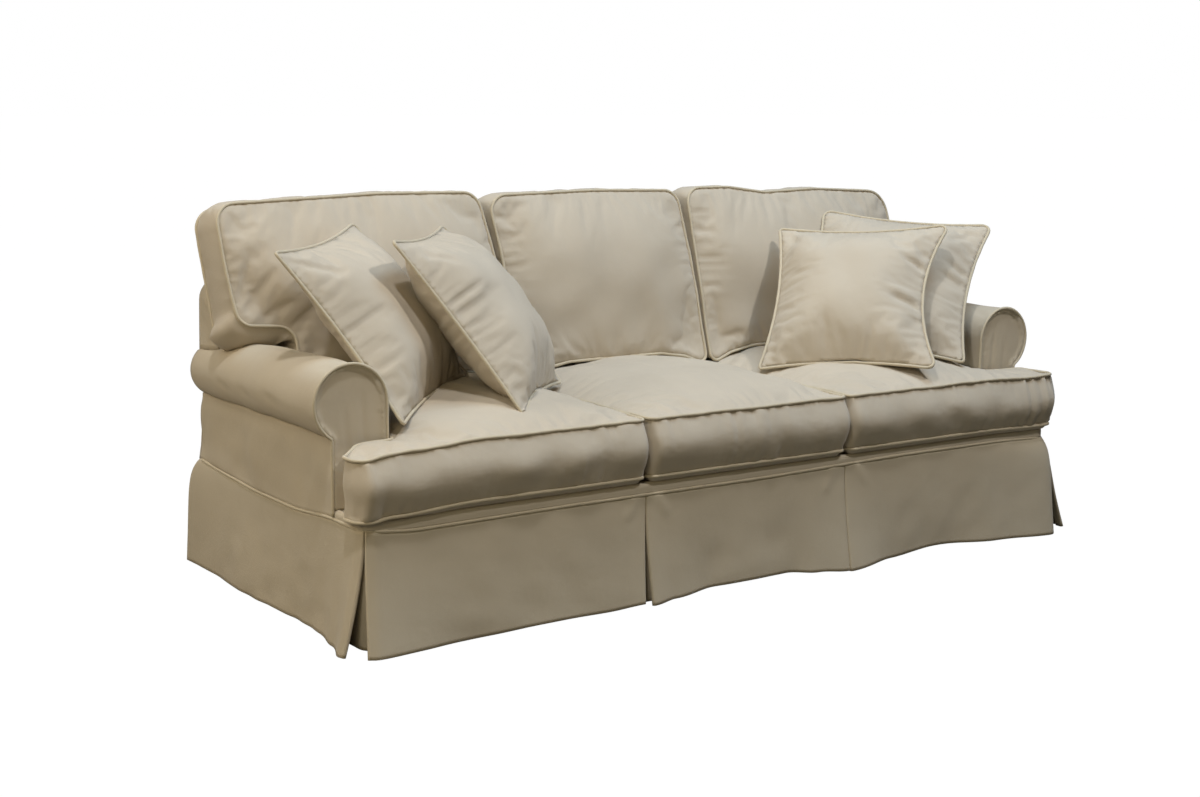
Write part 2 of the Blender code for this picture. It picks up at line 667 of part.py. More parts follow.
# ------------------------------------------------------------------ seat cushions
SEAT_OUTLINES = {
    "left": rounded([
        (-SEAT_EAR, SEAT_FRONT, 0.035), (-DIVIDE - WELT_ROOM, SEAT_FRONT, 0.018),
        (-DIVIDE - WELT_ROOM, SEAT_REAR, 0.018), (-SEAT_SIDE, SEAT_REAR, 0.018),
        (-SEAT_SIDE, SEAT_EAR_REAR, 0.010), (-SEAT_EAR_BEHIND, SEAT_EAR_REAR, 0.028)]),
    "centre": rounded([
        (-DIVIDE + WELT_ROOM, SEAT_FRONT, 0.018), (DIVIDE - WELT_ROOM, SEAT_FRONT, 0.018),
        (DIVIDE - WELT_ROOM, SEAT_REAR, 0.018), (-DIVIDE + WELT_ROOM, SEAT_REAR, 0.018)]),
    "right": rounded([
        (DIVIDE + WELT_ROOM, SEAT_FRONT, 0.018), (SEAT_EAR, SEAT_FRONT, 0.035),
        (SEAT_EAR_BEHIND, SEAT_EAR_REAR, 0.028), (SEAT_SIDE, SEAT_EAR_REAR, 0.010),
        (SEAT_SIDE, SEAT_REAR, 0.018), (DIVIDE + WELT_ROOM, SEAT_REAR, 0.018)]),
}
SEAT_MIDDLE = (SEAT_TOP + SEAT_BOTTOM) / 2
SEAT_DEPTH = SEAT_TOP - SEAT_BOTTOM


def crown(height, reach, distance, sharpness=2.4):
    """Height of a filled face at a distance from its seam."""
    return height * (1.0 - (1.0 - min(distance / reach, 1.0)) ** sharpness)


def seat_height(x, y):
    """Top of the seat cushions."""
    point = Vector((x, y))
    for outline in SEAT_OUTLINES.values():
        if inside(point, outline):
            rise = crown(SEAT_CROWN, SEAT_REACH, edge_distance(point, outline))
            return SEAT_TOP + rise - along(SINK, x)
    return SEAT_TOP - along(SINK, x)


def seat_cushions(cloth, trim):
    """Three box cushions, the outer two with an ear in front of the arm."""
    underside = SEAT_BOTTOM - DECK_Z - 2 * GAP

    def place(point, height):
        z = SEAT_MIDDLE + height - along(SINK, point.x)
        return point.x, point.y, max(z, DECK_Z + 2 * GAP)

    def bulge(point, out):
        ear = abs(point.x) > ARM_INNER + 2 * FRONT_CORNER
        return Vector((out.x * (0.012 if ear else 0.005), out.y * (0.020 if out.y < 0 else 0.005)))

    for name, outline in SEAT_OUTLINES.items():
        outline = spaced(outline, 0.12)
        filled_solid(
            f"seat_cushion_{name}", outline, 0.085, SEAT_DEPTH,
            front=lambda p, d: crown(SEAT_CROWN, SEAT_REACH, d),
            back=lambda p, d: crown(underside, 0.05, d),
            bulge=bulge, place=place, material=cloth)
        half = SEAT_DEPTH / 2
        seam_piping(f"piping_seat_{name}_top", outline, half, 1, place, trim)
        seam_piping(f"piping_seat_{name}_bottom", outline, -half, -1, place, trim)


# ------------------------------------------------------------------ back cushions
def over_seat(x):
    """Height of a back cushion's bottom seam, which rides over the seat's crown."""
    return seat_height(x, FACE_Y) + CLEAR + 2 * PIPING + GAP


def bottom_edge(start, end):
    """Bottom seam of a back cushion between two places, left to right."""
    return [(x, over_seat(x), 0.02) for x in steps(start, end, 5)]


BACK_OUTLINES = {
    "left": rounded(bottom_edge(-BACK_SIDE, -DIVIDE - WELT_ROOM) + [
        (-DIVIDE - WELT_ROOM - 0.010, 0.720, 0.3), (-0.357 - WELT_ROOM, 0.934, 0.048),
        (-0.640, 0.937, 0.5), (-1.075, 0.922, 0.048), (-1.066, 0.780, 0.5),
        (-1.048, 0.644, 0.040), (-BACK_SIDE, 0.633, 0.045)]),
    "centre": rounded(bottom_edge(-DIVIDE + WELT_ROOM, DIVIDE - WELT_ROOM) + [
        (0.297 - WELT_ROOM, 0.740, 0.3), (0.275 - WELT_ROOM, 0.924, 0.045), (0.000, 0.930, 0.6),
        (-0.340 + WELT_ROOM, 0.924, 0.045), (-0.316 + WELT_ROOM, 0.760, 0.3)]),
    "right": rounded(bottom_edge(DIVIDE + WELT_ROOM, BACK_SIDE) + [
        (BACK_SIDE, 0.633, 0.045), (1.036, 0.644, 0.040), (1.044, 0.780, 0.5),
        (1.032, 0.903, 0.070), (0.720, 0.922, 0.6), (0.292 + WELT_ROOM, 0.930, 0.045),
        (0.304 + WELT_ROOM, 0.740, 0.3)]),
}


def back_face_y(x, z, crowned=True):
    """Front of the back cushions."""
    point = Vector((x, z))
    rise = 0.0
    for outline in BACK_OUTLINES.values():
        if crowned and inside(point, outline):
            rise = crown(BACK_CROWN, BACK_REACH, edge_distance(point, outline))
    return FACE_Y + LEAN * (z - FACE_Z) - rise


def back_cushions(cloth, trim):
    """Three box cushions that lean on the inside back, the outer two with an ear over the arm."""

    def place(point, height):
        """Height 1 is the front seam, 0 the rear seam, and what lies past them is metres."""
        x, z = point
        lower = TOP_SINK * ease((z - 0.75) / 0.15)
        lower += EAR_SAG * ease((abs(x) - BACK_SIDE) / 0.08) * (1.0 - ease((z - 0.66) / 0.12))
        front = back_face_y(x, z, crowned=False)
        rear = inside_back_y(z - lower) - REAR_ROOM
        share = min(max(height, 0.0), 1.0)
        y = rear + (front - rear) * share - (height - share)
        return Vector((x, y, z - lower * (1.0 - share)))

    def from_middle(point, height):
        return place(point, height + 0.5)

    def bulge(point, out):
        if out.y < -0.5:
            return out * 0.010 * ease((abs(point.x) - BACK_SIDE) / 0.08)
        return out * (0.008 if out.y > 0.5 else 0.004)

    for name, outline in BACK_OUTLINES.items():
        outline = spaced(outline, 0.12)
        filled_solid(
            f"back_cushion_{name}", outline, 0.075, 1.0,
            front=lambda p, d: crown(BACK_CROWN, BACK_REACH, d),
            back=lambda p, d: crown(REAR_ROOM - 2 * GAP, 0.03, d),
            bulge=bulge, place=from_middle, material=cloth)
        seam_piping(f"piping_back_{name}_front", outline, 1.0, 1, place, trim)
        seam_piping(f"piping_back_{name}_rear", outline, 0.0, -1, place, trim)


# ------------------------------------------------------------------ scatter cushions
def scatter_outline(size):
    """Square with pointed corners and sides that bow in."""
    half = size / 2
    points = []
    for quarter in range(4):
        turn = Matrix.Rotation(quarter * math.pi / 2, 2)
        for t in (-0.97, -0.90, -0.68, -0.36, 0.0, 0.36, 0.68, 0.90, 0.97):
            bow = SCATTER_DRAWN_IN * (1.0 - t * t)
            points.append(turn @ Vector((half * t, bow - half)))
    return points


def scatter_cushion(cloth, trim, name, size, centre, turn, lean, spin, thickness):
    """Knife-edge cushion, leaning in its place, pressed flat where it rests."""
    pose = (Matrix.Translation(centre)
            @ Matrix.Rotation(math.radians(turn), 4, "Z")
            @ Matrix.Rotation(math.radians(90 - lean), 4, "X")
            @ Matrix.Rotation(math.radians(spin), 4, "Z"))
    back_to_local = pose.inverted()
    outline = scatter_outline(size)

    def settle(point, height, room=None):
        """Point of the cushion, pushed clear of the seat, the arms and the back cushions."""
        if room is None:
            room = CLEAR + 2 * PIPING * max(1.0 - edge_distance(point, outline) / 0.04, 0.0)
        spot = pose @ Vector((point.x, point.y, height))
        spot.z = max(spot.z, seat_height(spot.x, spot.y) + room)
        if spot.z > FACE_Z:
            spot.y = min(spot.y, back_face_y(spot.x, spot.z) - room)
        roll_x, roll_z, radius = roll(spot.y)
        aside = abs(spot.x) - roll_x
        if spot.y > ARM_FRONT - room and spot.z > SEAT_TOP:
            keep = radius + room + CLEAR + PIPING
            if spot.z < roll_z:
                aside = min(aside, -keep)
            else:
                away = math.hypot(aside, spot.z - roll_z)
                push = max(keep, away) / away
                spot.z = roll_z + (spot.z - roll_z) * push
                aside *= push
            spot.x = math.copysign(roll_x + aside, spot.x)
        return back_to_local @ spot

    filled_solid(
        name, outline, 0.062, 0.0,
        front=lambda p, d: crown(thickness, SCATTER_REACH, d, 1.9),
        back=lambda p, d: crown(thickness, SCATTER_REACH, d, 1.9),
        bulge=None, place=settle, material=cloth, pose=pose, inset=0.014)
    seam_piping(f"piping_{name}", outline, 0.0, 0,
                lambda point, height: settle(point, height, PIPING - GAP), trim, pose=pose)


# ------------------------------------------------------------------ build
for thing in list(bpy.data.objects):
    bpy.data.objects.remove(thing)

ORIGIN_Y = (inside_back_y(BACK_TOP) + outside_back_y(BACK_TOP)) / 2
ORIGIN = bpy.data.objects.new("under_top_of_back", None)
bpy.context.scene.collection.objects.link(ORIGIN)
ORIGIN.location = (0.0, -ORIGIN_Y, -(BACK_TOP - CLOTH))

COVER = canvas("cover canvas", (0.42, 0.36, 0.27))
SKIRTING = canvas("skirt canvas", (0.40, 0.34, 0.25))
CUSHIONS = canvas("cushion canvas", (0.45, 0.39, 0.30))
TRIM = canvas("piping canvas", (0.43, 0.37, 0.28), 0.85)

back_panels(COVER)
deck_panels(COVER)
for arm, arm_side in (("left", -1), ("right", 1)):
    arm_panels(COVER, TRIM, arm, arm_side)
skirt(SKIRTING, TRIM)
seat_cushions(CUSHIONS, TRIM)
back_cushions(CUSHIONS, TRIM)
for scatter_row in SCATTER:
    scatter_cushion(CUSHIONS, TRIM, *scatter_row)
bpy.context.view_layer.update()
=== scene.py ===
"""Looks of the sofa slipcover: fine cloth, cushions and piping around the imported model.

Sizes are metres. Shapes are worked out from the floor (z = 0) and the middle of the seat (x = 0),
as the part's source does, and moved into the record's frame when a piece is made.
"""

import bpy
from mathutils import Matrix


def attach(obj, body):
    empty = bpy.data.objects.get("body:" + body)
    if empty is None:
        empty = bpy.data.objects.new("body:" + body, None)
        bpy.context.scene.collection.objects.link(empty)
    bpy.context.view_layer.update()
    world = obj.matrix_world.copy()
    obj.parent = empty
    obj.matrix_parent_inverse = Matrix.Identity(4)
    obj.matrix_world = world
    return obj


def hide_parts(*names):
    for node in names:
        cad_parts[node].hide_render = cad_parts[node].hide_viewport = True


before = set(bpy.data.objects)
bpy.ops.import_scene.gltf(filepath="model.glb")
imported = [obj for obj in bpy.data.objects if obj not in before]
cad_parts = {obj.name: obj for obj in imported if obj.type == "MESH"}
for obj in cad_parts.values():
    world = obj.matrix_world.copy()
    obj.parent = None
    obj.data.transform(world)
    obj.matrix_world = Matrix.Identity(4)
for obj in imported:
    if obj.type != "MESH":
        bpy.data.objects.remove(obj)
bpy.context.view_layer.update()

import math

import bpy
import numpy as np
from mathutils import Matrix, Vector
from mathutils.geometry import delaunay_2d_cdt

# ---------------- sizes, as in the part's source
CLOTH = 0.0025
GAP = 0.0003
CLEAR = 0.002
PIPING = 0.004
SEAM = 0.0006

HALF_WIDTH = 1.04
SEAM_FRONT = -0.468
SEAM_BACK = 0.43
FRONT_CORNER = 0.035
DECK_Z = 0.293
DECK_EDGE = 0.01

ARM_INNER = 0.915
ARM_FRONT = -0.337
ROLL_X = 0.998
ROLL_Z = 0.525
ROLL_RADIUS = 0.083
ROLL_DROOP = 0.025
ROLL_TAPER = 0.018
ROLL_END = -60
BACK_SIDE_ANGLE = 58

BACK_TOP = 0.73
BACK_TOP_CORNER = 0.05
OUTSIDE_LEAN = 0.065
INSIDE_FOOT = 0.238
INSIDE_LEAN = 0.175

DIVIDE = 0.308
SEAT_FRONT = -0.477
SEAT_REAR = 0.225
SEAT_SIDE = 0.899
SEAT_EAR = 1.066
SEAT_EAR_REAR = -0.3485
SEAT_EAR_BEHIND = 1.038
SEAT_TOP = 0.446
SEAT_BOTTOM = 0.311
SEAT_CROWN = 0.055
SEAT_REACH = 0.3

FACE_Y = 0.1
FACE_Z = 0.47
LEAN = 0.25
REAR_ROOM = 0.0075
TOP_SINK = 0.022
BACK_CROWN = 0.045
BACK_REACH = 0.2
BACK_SIDE = 0.907

WELT_ROOM = 0.0075
SCATTER_REACH = 0.2
SHARP = 0.001

# How far the seat sinks: place across, depth
SINK = ((-1.05, 0.02), (-0.97, 0.01), (-0.76, 0.0), (0.78, 0.0), (0.99, 0.005))

# ---------------- sizes of the looks
EAR_SAG = 0.052           # how far the rear of a back cushion's ear hangs, lower than in the source
EAR_BELLY = 0.045         # how far the ear's underside swells, down on to the arm
BACK_FLAT = 0.014         # how much flatter the lower part of a back cushion's front is
BACK_DEPTH = 0.13         # width of a back cushion's boxing, for its gathers
SHEET_STEP = 0.01         # grid of the cover's panels
CUSHION_STEP = 0.0085     # lattice of the cushions
WELT_STEP = 0.007         # along the piping
WELT_SIDES = 9            # points round the piping
CROWN_SHARPNESS = 2.4     # of a filled face towards its seam
BOXING_ROWS = 16          # rows of faces over a cushion's side
SEWN_IN = 0.3             # how far the piping's middle stands off its seam, in its own radius
ROOT = math.sqrt(0.75)    # height of a triangle with sides of 1


# ---------------- numbers along a line
def ease(t):
    """Smooth step from 0 to 1."""
    t = np.clip(t, 0.0, 1.0)
    return t * t * (3.0 - 2.0 * t)


def along(rows, place, column=1):
    """Values at places in a table whose first column is the place, eased between its rows."""
    rows = np.array(rows, float)
    place = np.asarray(place, float)
    k = np.clip(np.searchsorted(rows[:, 0], place) - 1, 0, len(rows) - 2)
    share = ease((place - rows[k, 0]) / (rows[k + 1, 0] - rows[k, 0]))
    return rows[k, column] + (rows[k + 1, column] - rows[k, column]) * share


def waves(points, length, seed, count=14):
    """Smooth random height, about -1 to 1, that changes over the given length."""
    points = np.asarray(points, float)
    draw = np.random.default_rng(seed)
    total = np.zeros(points.shape[:-1])
    for _ in range(count):
        way = draw.normal(size=points.shape[-1])
        way /= np.linalg.norm(way)
        turn = 2 * math.pi / (length * draw.uniform(0.7, 1.6))
        total += np.sin(points @ way * turn + draw.uniform(0, 2 * math.pi))
    return total / math.sqrt(count)


def strokes(flat, rows):
    """Height of soft creases on flat cloth: rows of start, end, half width, height."""
    total = np.zeros(len(flat))
    for u0, v0, u1, v1, width, height in rows:
        start, run = np.array((u0, v0)), np.array((u1 - u0, v1 - v0))
        length = max(np.linalg.norm(run), 1e-6)
        share = (flat - start) @ run / length**2
        off = (flat - start) - np.clip(share, 0, 1)[:, None] * run
        far = np.linalg.norm(off, axis=1) / width
        taper = ease(np.clip(share, 0, 1) / 0.25) * ease((1 - np.clip(share, 0, 1)) / 0.25)
        total += height * np.exp(-far**2) * (0.25 + 0.75 * taper)
    return total


def to_points(*columns):
    """Points whose coordinates are the given numbers and arrays."""
    return np.stack(np.broadcast_arrays(*columns), -1)


# ---------------- outlines
def rounded(corners, turn=6.0):
    """Closed outline with round corners, from rows of x, y and radius."""
    points = []
    for i, (x, y, radius) in enumerate(corners):
        here = Vector((x, y))
        before = (Vector(corners[i - 1][:2]) - here).normalized()
        after = (Vector(corners[(i + 1) % len(corners)][:2]) - here).normalized()
        half = before.angle(after) / 2
        centre = here + (before + after).normalized() * radius / math.sin(half)
        start = here + before * radius / math.tan(half) - centre
        end = here + after * radius / math.tan(half) - centre
        sweep = math.atan2(start.x * end.y - start.y * end.x, start.dot(end))
        count = max(1, round(abs(math.degrees(sweep)) / turn))
        for k in range(count + 1):
            points.append(centre + Matrix.Rotation(sweep * k / count, 2) @ start)
    return np.array(points)


def evenly(points, spacing, closed=True):
    """The same line with points at even spacing."""
    points = np.asarray(points, float)
    if closed:
        points = np.vstack((points, points[:1]))
    run = np.r_[0, np.cumsum(np.linalg.norm(np.diff(points, axis=0), axis=1))]
    count = max(3, round(run[-1] / spacing))
    at = np.linspace(0, run[-1], count + 1)
    line = np.column_stack([np.interp(at, run, points[:, k]) for k in range(points.shape[1])])
    return line[:-1] if closed else line


def outward(outline):
    """Unit direction out of a counter-clockwise outline at each of its points."""
    along_it = np.roll(outline, -1, 0) - np.roll(outline, 1, 0)
    out = to_points(along_it[:, 1], -along_it[:, 0])
    return out / np.maximum(np.linalg.norm(out, axis=1), 1e-9)[:, None]


def seam_of(points, outline):
    """Distance of each point to a closed outline, and the outline's nearest point."""
    best = np.full(len(points), np.inf)
    near = np.zeros((len(points), 2))
    for a, b in zip(outline, np.roll(outline, -1, 0)):
        share = np.clip((points - a) @ (b - a) / max((b - a) @ (b - a), 1e-12), 0, 1)
        spot = a + share[:, None] * (b - a)
        away = np.linalg.norm(spot - points, axis=1)
        nearer = away < best
        best[nearer] = away[nearer]
        near[nearer] = spot[nearer]
    return best, near


def within(points, outline):
    """Which points lie within a closed outline."""
    result = np.zeros(len(points), bool)
    for a, b in zip(outline, np.roll(outline, -1, 0)):
        if a[1] == b[1]:
            continue
        level = (a[1] > points[:, 1]) != (b[1] > points[:, 1])
        cross = a[0] + (points[:, 1] - a[1]) / (b[1] - a[1]) * (b[0] - a[0])
        result ^= level & (cross > points[:, 0])
    return result


def filled(outline, spacing):
    """Points and triangles that fill an outline: its own points first, then a lattice inside."""
    low, high = outline.min(0), outline.max(0)
    rows = int((high[1] - low[1]) / (spacing * ROOT)) + 1
    columns = int((high[0] - low[0]) / spacing) + 2
    r, c = np.meshgrid(np.arange(1, rows), np.arange(columns), indexing="ij")
    lattice = to_points(low[0] + (c + 0.5 * (r % 2)) * spacing, low[1] + r * spacing * ROOT)
    lattice = lattice.reshape(-1, 2)
    lattice = lattice[within(lattice, outline)]
    lattice = lattice[seam_of(lattice, outline)[0] > 0.6 * spacing]
    points = np.vstack((outline, lattice))
    edges = [(i, (i + 1) % len(outline)) for i in range(len(outline))]
    _, _, faces, origin, _, _ = delaunay_2d_cdt([Vector(p) for p in points], edges, [], 1, 1e-7)
    first = [o[0] for o in origin]
    return points, np.array([[first[corner] for corner in face] for face in faces])


# ---------------- the seam that carries the skirt
FRONT_RUN = HALF_WIDTH - FRONT_CORNER
FRONT_ARC = FRONT_CORNER * math.pi / 2
SIDE_RUN = SEAM_BACK - SEAM_FRONT - FRONT_CORNER
FRONT_CORNER_AT = FRONT_RUN + FRONT_ARC / 2
BACK_CORNER_AT = FRONT_RUN + FRONT_ARC + SIDE_RUN
HALF_ROUND = BACK_CORNER_AT + HALF_WIDTH


def side_at(y):
    """Distance along the seam of a place on the side."""
    return FRONT_RUN + FRONT_ARC + y - SEAM_FRONT - FRONT_CORNER


def seam_plan(s):
    """Points and outward directions of the seam, s along it from the middle of the front."""
    s = np.asarray(s, float)
    s = np.where(s > HALF_ROUND, s - 2 * HALF_ROUND, s)
    mirror = np.where(s < 0, -1.0, 1.0)
    s = np.abs(s)
    angle = np.clip((s - FRONT_RUN) / FRONT_CORNER, 0, math.pi / 2)
    x = np.minimum(s, FRONT_RUN) + FRONT_CORNER * np.sin(angle)
    y = SEAM_FRONT + FRONT_CORNER * (1 - np.cos(angle)) + np.clip(
        s - FRONT_RUN - FRONT_ARC, 0, SIDE_RUN)
    out_x, out_y = np.sin(angle), -np.cos(angle)
    behind = s > BACK_CORNER_AT
    x = np.where(behind, HALF_ROUND - s, x)
    y = np.where(behind, SEAM_BACK, y)
    out_x, out_y = np.where(behind, 0.0, out_x), np.where(behind, 1.0, out_y)
    corner = np.abs(s - BACK_CORNER_AT) < GAP
    out_x, out_y = np.where(corner, 1.0, out_x), np.where(corner, 1.0, out_y)
    return to_points(mirror * x, y), to_points(mirror * out_x, out_y)


# Rows of the distance along the seam and its height over the floor
SEAM_HEIGHT = (
    (-HALF_ROUND, 0.275), (-BACK_CORNER_AT, 0.275), (-side_at(0.31), 0.267),
    (-side_at(0.1), 0.258), (-side_at(-0.14), 0.259), (-side_at(-0.31), 0.275),
    (-FRONT_CORNER_AT, 0.275), (-0.93, 0.263), (-0.55, 0.268), (0.05, 0.268),
    (0.5, 0.276), (0.86, 0.275), (FRONT_CORNER_AT, 0.268), (side_at(-0.1), 0.261),
    (side_at(0.2), 0.26), (BACK_CORNER_AT, 0.275), (HALF_ROUND, 0.275),
)
SEAM_AT = np.linspace(-HALF_ROUND, HALF_ROUND, 1601)
SEAM_SMOOTH = 31          # points that the seam's height is evened out over
SEAM_WINDOW = np.hanning(SEAM_SMOOTH + 2)
SEAM_LEVEL = np.pad(np.interp(SEAM_AT, *np.array(SEAM_HEIGHT).T), SEAM_SMOOTH // 2, "edge")
SEAM_LEVEL = np.convolve(SEAM_LEVEL, SEAM_WINDOW[1:-1] / SEAM_WINDOW.sum(), "valid")


def seam_height(s):
    """Height of the seam at distances along it."""
    s = np.asarray(s, float)
    s = np.where(s > HALF_ROUND, s - 2 * HALF_ROUND, s)
    return np.interp(s, SEAM_AT, SEAM_LEVEL)


# ---------------- surfaces of the cover
def inside_back_y(z):
    """Inside of the back at a height."""
    return INSIDE_FOOT + INSIDE_LEAN * (z - DECK_Z)


def outside_back_y(z):
    """Outside of the back at a height."""
    return SEAM_BACK - OUTSIDE_LEAN * (z - DECK_Z)


def before_outside_back(z):
    """Where a panel ends that meets the outside back from within."""
    return outside_back_y(z) - CLOTH - GAP


def roll(y):
    """Centre and radius of the arm's roll at places along it."""
    share = ((y - ARM_FRONT) / (SEAM_BACK - ARM_FRONT)) ** 2
    return ROLL_X, ROLL_Z - ROLL_DROOP * share, ROLL_RADIUS - ROLL_TAPER * share


def on_roll(y, degrees, grow=0.0):
    """Points of the roll's section, x and z, at angles from outward."""
    x, z, radius = roll(y)
    angle = np.radians(degrees)
    return x + (radius + grow) * np.cos(angle), z + (radius + grow) * np.sin(angle)


# Where the record's frame begins: under the top of the back, in its middle
ORIGIN = np.array((0.0, (inside_back_y(BACK_TOP) + outside_back_y(BACK_TOP)) / 2,
                   BACK_TOP - CLOTH))


# ---------------- cloth
def put(node, values):
    """Sets a node's inputs by their names."""
    for name, value in values.items():
        node.inputs[name].default_value = value


def add(tree, kind, values=(), **settings):
    """New shader node with its own settings and its inputs' values."""
    node = tree.nodes.new("ShaderNode" + kind)
    for name, value in settings.items():
        setattr(node, name, value)
    put(node, dict(values))
    return node


def join(tree, *rows):
    """Links, from rows of a node, its output, the next node and its input."""
    for source, output, target, place in rows:
        tree.links.new(source.outputs[output], target.inputs[place])


def new_material(name):
    """Material, with its node tree and its shader."""
    material = bpy.data.materials.new(name)
    material.use_nodes = True
    return material, material.node_tree, material.node_tree.nodes["Principled BSDF"]


def fabric(name, colour, roughness):
    """Brushed cotton canvas: fine weave, a little pile, and a tone that varies over the piece."""
    material, tree, shader = new_material(name)
    put(shader, {"Roughness": roughness, "Specular IOR Level": 0.22, "Sheen Weight": 0.22,
                 "Sheen Roughness": 0.45, "Sheen Tint": (1.0, 0.97, 0.92, 1.0)})
    tone, speck, rumple = (add(tree, "TexNoise", {"Scale": scale, "Detail": detail})
                           for scale, detail in ((5.0, 4.0), (900.0, 2.0), (34.0, 3.0)))
    warp, weft = (add(tree, "TexWave", {"Scale": 420.0, "Distortion": 1.5, "Detail": 1.0},
                      wave_type="BANDS", bands_direction=direction) for direction in "XZ")
    place = add(tree, "TexCoord")
    for texture in (tone, speck, rumple, warp, weft):
        join(tree, (place, "Object", texture, "Vector"))
    ramp = add(tree, "ValToRGB")
    for k, position, shade in ((0, 0.3, 0.955), (1, 0.7, 1.035)):
        ramp.color_ramp.elements[k].position = position
        ramp.color_ramp.elements[k].color = (*[c * shade for c in colour], 1.0)
    flecks = add(tree, "Mix", {"Factor": 0.1}, data_type="RGBA", blend_type="SOFT_LIGHT")
    weave = add(tree, "Math", operation="MULTIPLY")
    fine = add(tree, "Bump", {"Strength": 0.25, "Distance": 0.0004})
    soft = add(tree, "Bump", {"Strength": 0.35, "Distance": 0.0022})
    join(tree, (tone, "Fac", ramp, "Fac"), (ramp, "Color", flecks, "A"),
         (speck, "Color", flecks, "B"), (flecks, "Result", shader, "Base Color"),
         (warp, "Fac", weave, 0), (weft, "Fac", weave, 1), (weave, "Value", fine, "Height"),
         (rumple, "Fac", soft, "Height"), (fine, "Normal", soft, "Normal"),
         (soft, "Normal", shader, "Normal"))
    return material


TAN = (0.52, 0.455, 0.335)
# Slot, shares of the tan's red, green and blue, roughness. Every slot is the same canvas: the
# lighter, bluer share of the cushions and the lighter share of the piping are painted highlight where
# the lamps fall strongest, and the darker share of the skirt is painted shade.
FABRICS = (
    ("cover canvas", (1.0, 0.995, 1.03), 0.88), ("skirt canvas", (0.96, 0.955, 0.97), 0.88),
    ("cushion canvas", (1.01, 1.012, 1.085), 0.88), ("piping", (1.05, 1.05, 1.05), 0.82),
)
MATERIALS = {
    slot: fabric(slot.split()[0] + " canvas, brushed", [c * t for c, t in zip(TAN, tint)], rough)
    for slot, tint, rough in FABRICS}


def placed(name, data):
    """New object in the scene."""
    thing = bpy.data.objects.new(name, data)
    bpy.context.scene.collection.objects.link(thing)
    return thing


def piece(name, node, slot, points, faces):
    """Mesh object that stands for a node of the frame."""
    data = bpy.data.meshes.new(name)
    data.from_pydata((np.asarray(points, float).reshape(-1, 3) - ORIGIN).tolist(), [],
                     [list(face) for face in faces])
    data.shade_smooth()
    data.materials.append(MATERIALS[slot])
    thing = placed(name, data)
    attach(thing, "root")
    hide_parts(node)
    return thing


def grid_faces(rows, columns, closed=False):
    """Four-sided faces of a grid; closed joins its last column to its first."""
    r, c = np.meshgrid(np.arange(rows - 1), np.arange(columns - 1 + closed), indexing="ij")
    a, b = r * columns + c, r * columns + (c + 1) % columns
    return np.stack((a, b, b + columns, a + columns), -1).reshape(-1, 4)


def cloth(node, slot, points, faces):
    """Sheet of canvas, thick inwards from its outer face."""
    thing = piece(f"{node}_cloth", node, slot, points, faces.tolist())
    canvas = thing.modifiers.new("canvas", "SOLIDIFY")
    canvas.thickness = CLOTH
    canvas.offset = -1
    canvas.use_quality_normals = True


def run_length(points):
    """Length of the line through the points."""
    return np.linalg.norm(np.diff(points, axis=0), axis=1).sum()


def hung(node, slot, grid, outer, lift=0.0):
    """Sheet from a grid of points, whose outer face looks in the outer direction."""
    facing = np.cross(np.gradient(grid, axis=1), np.gradient(grid, axis=0))
    facing /= np.maximum(np.linalg.norm(facing, axis=2), 1e-12)[..., None]
    flip = (facing * np.asarray(outer, float)).sum() < 0
    facing = -facing if flip else facing
    grid = grid + facing * np.broadcast_to(lift, grid.shape[:2])[..., None]
    faces = grid_faces(*grid.shape[:2])
    size = [max(run_length(line) for line in lines[::4]) for lines in (grid, grid.swapaxes(0, 1))]
    cloth(node, slot, grid, faces if flip else faces[:, ::-1])


def cut(node, outline, spacing, surface, outer, lift=None):
    """Stretched sheet cut to a flat outline; surface turns flat points into the model's."""
    flat, faces = filled(evenly(outline, spacing), spacing)
    points = surface(flat)
    outer = np.asarray(outer, float)
    if lift is not None:
        points = points + outer * lift(flat)[:, None]
    a, b, c = (points[faces[:, k]] for k in range(3))
    if (np.cross(b - a, c - a) * outer).sum() < 0:
        faces = faces[:, ::-1]
    cloth(node, "cover canvas", points, faces)


def welt(node, line, reference, closed, seed):
    """Covered cord round a seam; reference is a direction that the seam is nowhere along."""
    line = evenly(line, WELT_STEP, closed)
    if closed:
        tangent = np.roll(line, -1, 0) - np.roll(line, 1, 0)
    else:
        tangent = np.gradient(line, axis=0)
    tangent /= np.linalg.norm(tangent, axis=1)[:, None]
    side = np.cross(tangent, reference)
    side /= np.linalg.norm(side, axis=1)[:, None]
    up = np.cross(side, tangent)
    radius = PIPING * (1.0 + 0.06 * waves(line, 0.05, seed))
    turn = np.arange(WELT_SIDES) * 2 * math.pi / WELT_SIDES
    ring = (side[:, None] * np.cos(turn)[None, :, None] + up[:, None] * np.sin(turn)[None, :, None])
    points = line[:, None] + ring * radius[:, None, None]
    faces = grid_faces(len(line), WELT_SIDES, True)
    if closed:
        last = grid_faces(2, WELT_SIDES, True)
        last = np.where(last >= WELT_SIDES, last - WELT_SIDES, last + (len(line) - 1) * WELT_SIDES)
        faces = np.vstack((faces, last))
    faces = faces[:, ::-1].tolist()
    if not closed:
        start = list(range(WELT_SIDES))
        end = [k + (len(line) - 1) * WELT_SIDES for k in range(WELT_SIDES)]
        faces += [start, end[::-1]]
    return piece(f"{node}_cord", node, "piping", points, faces)


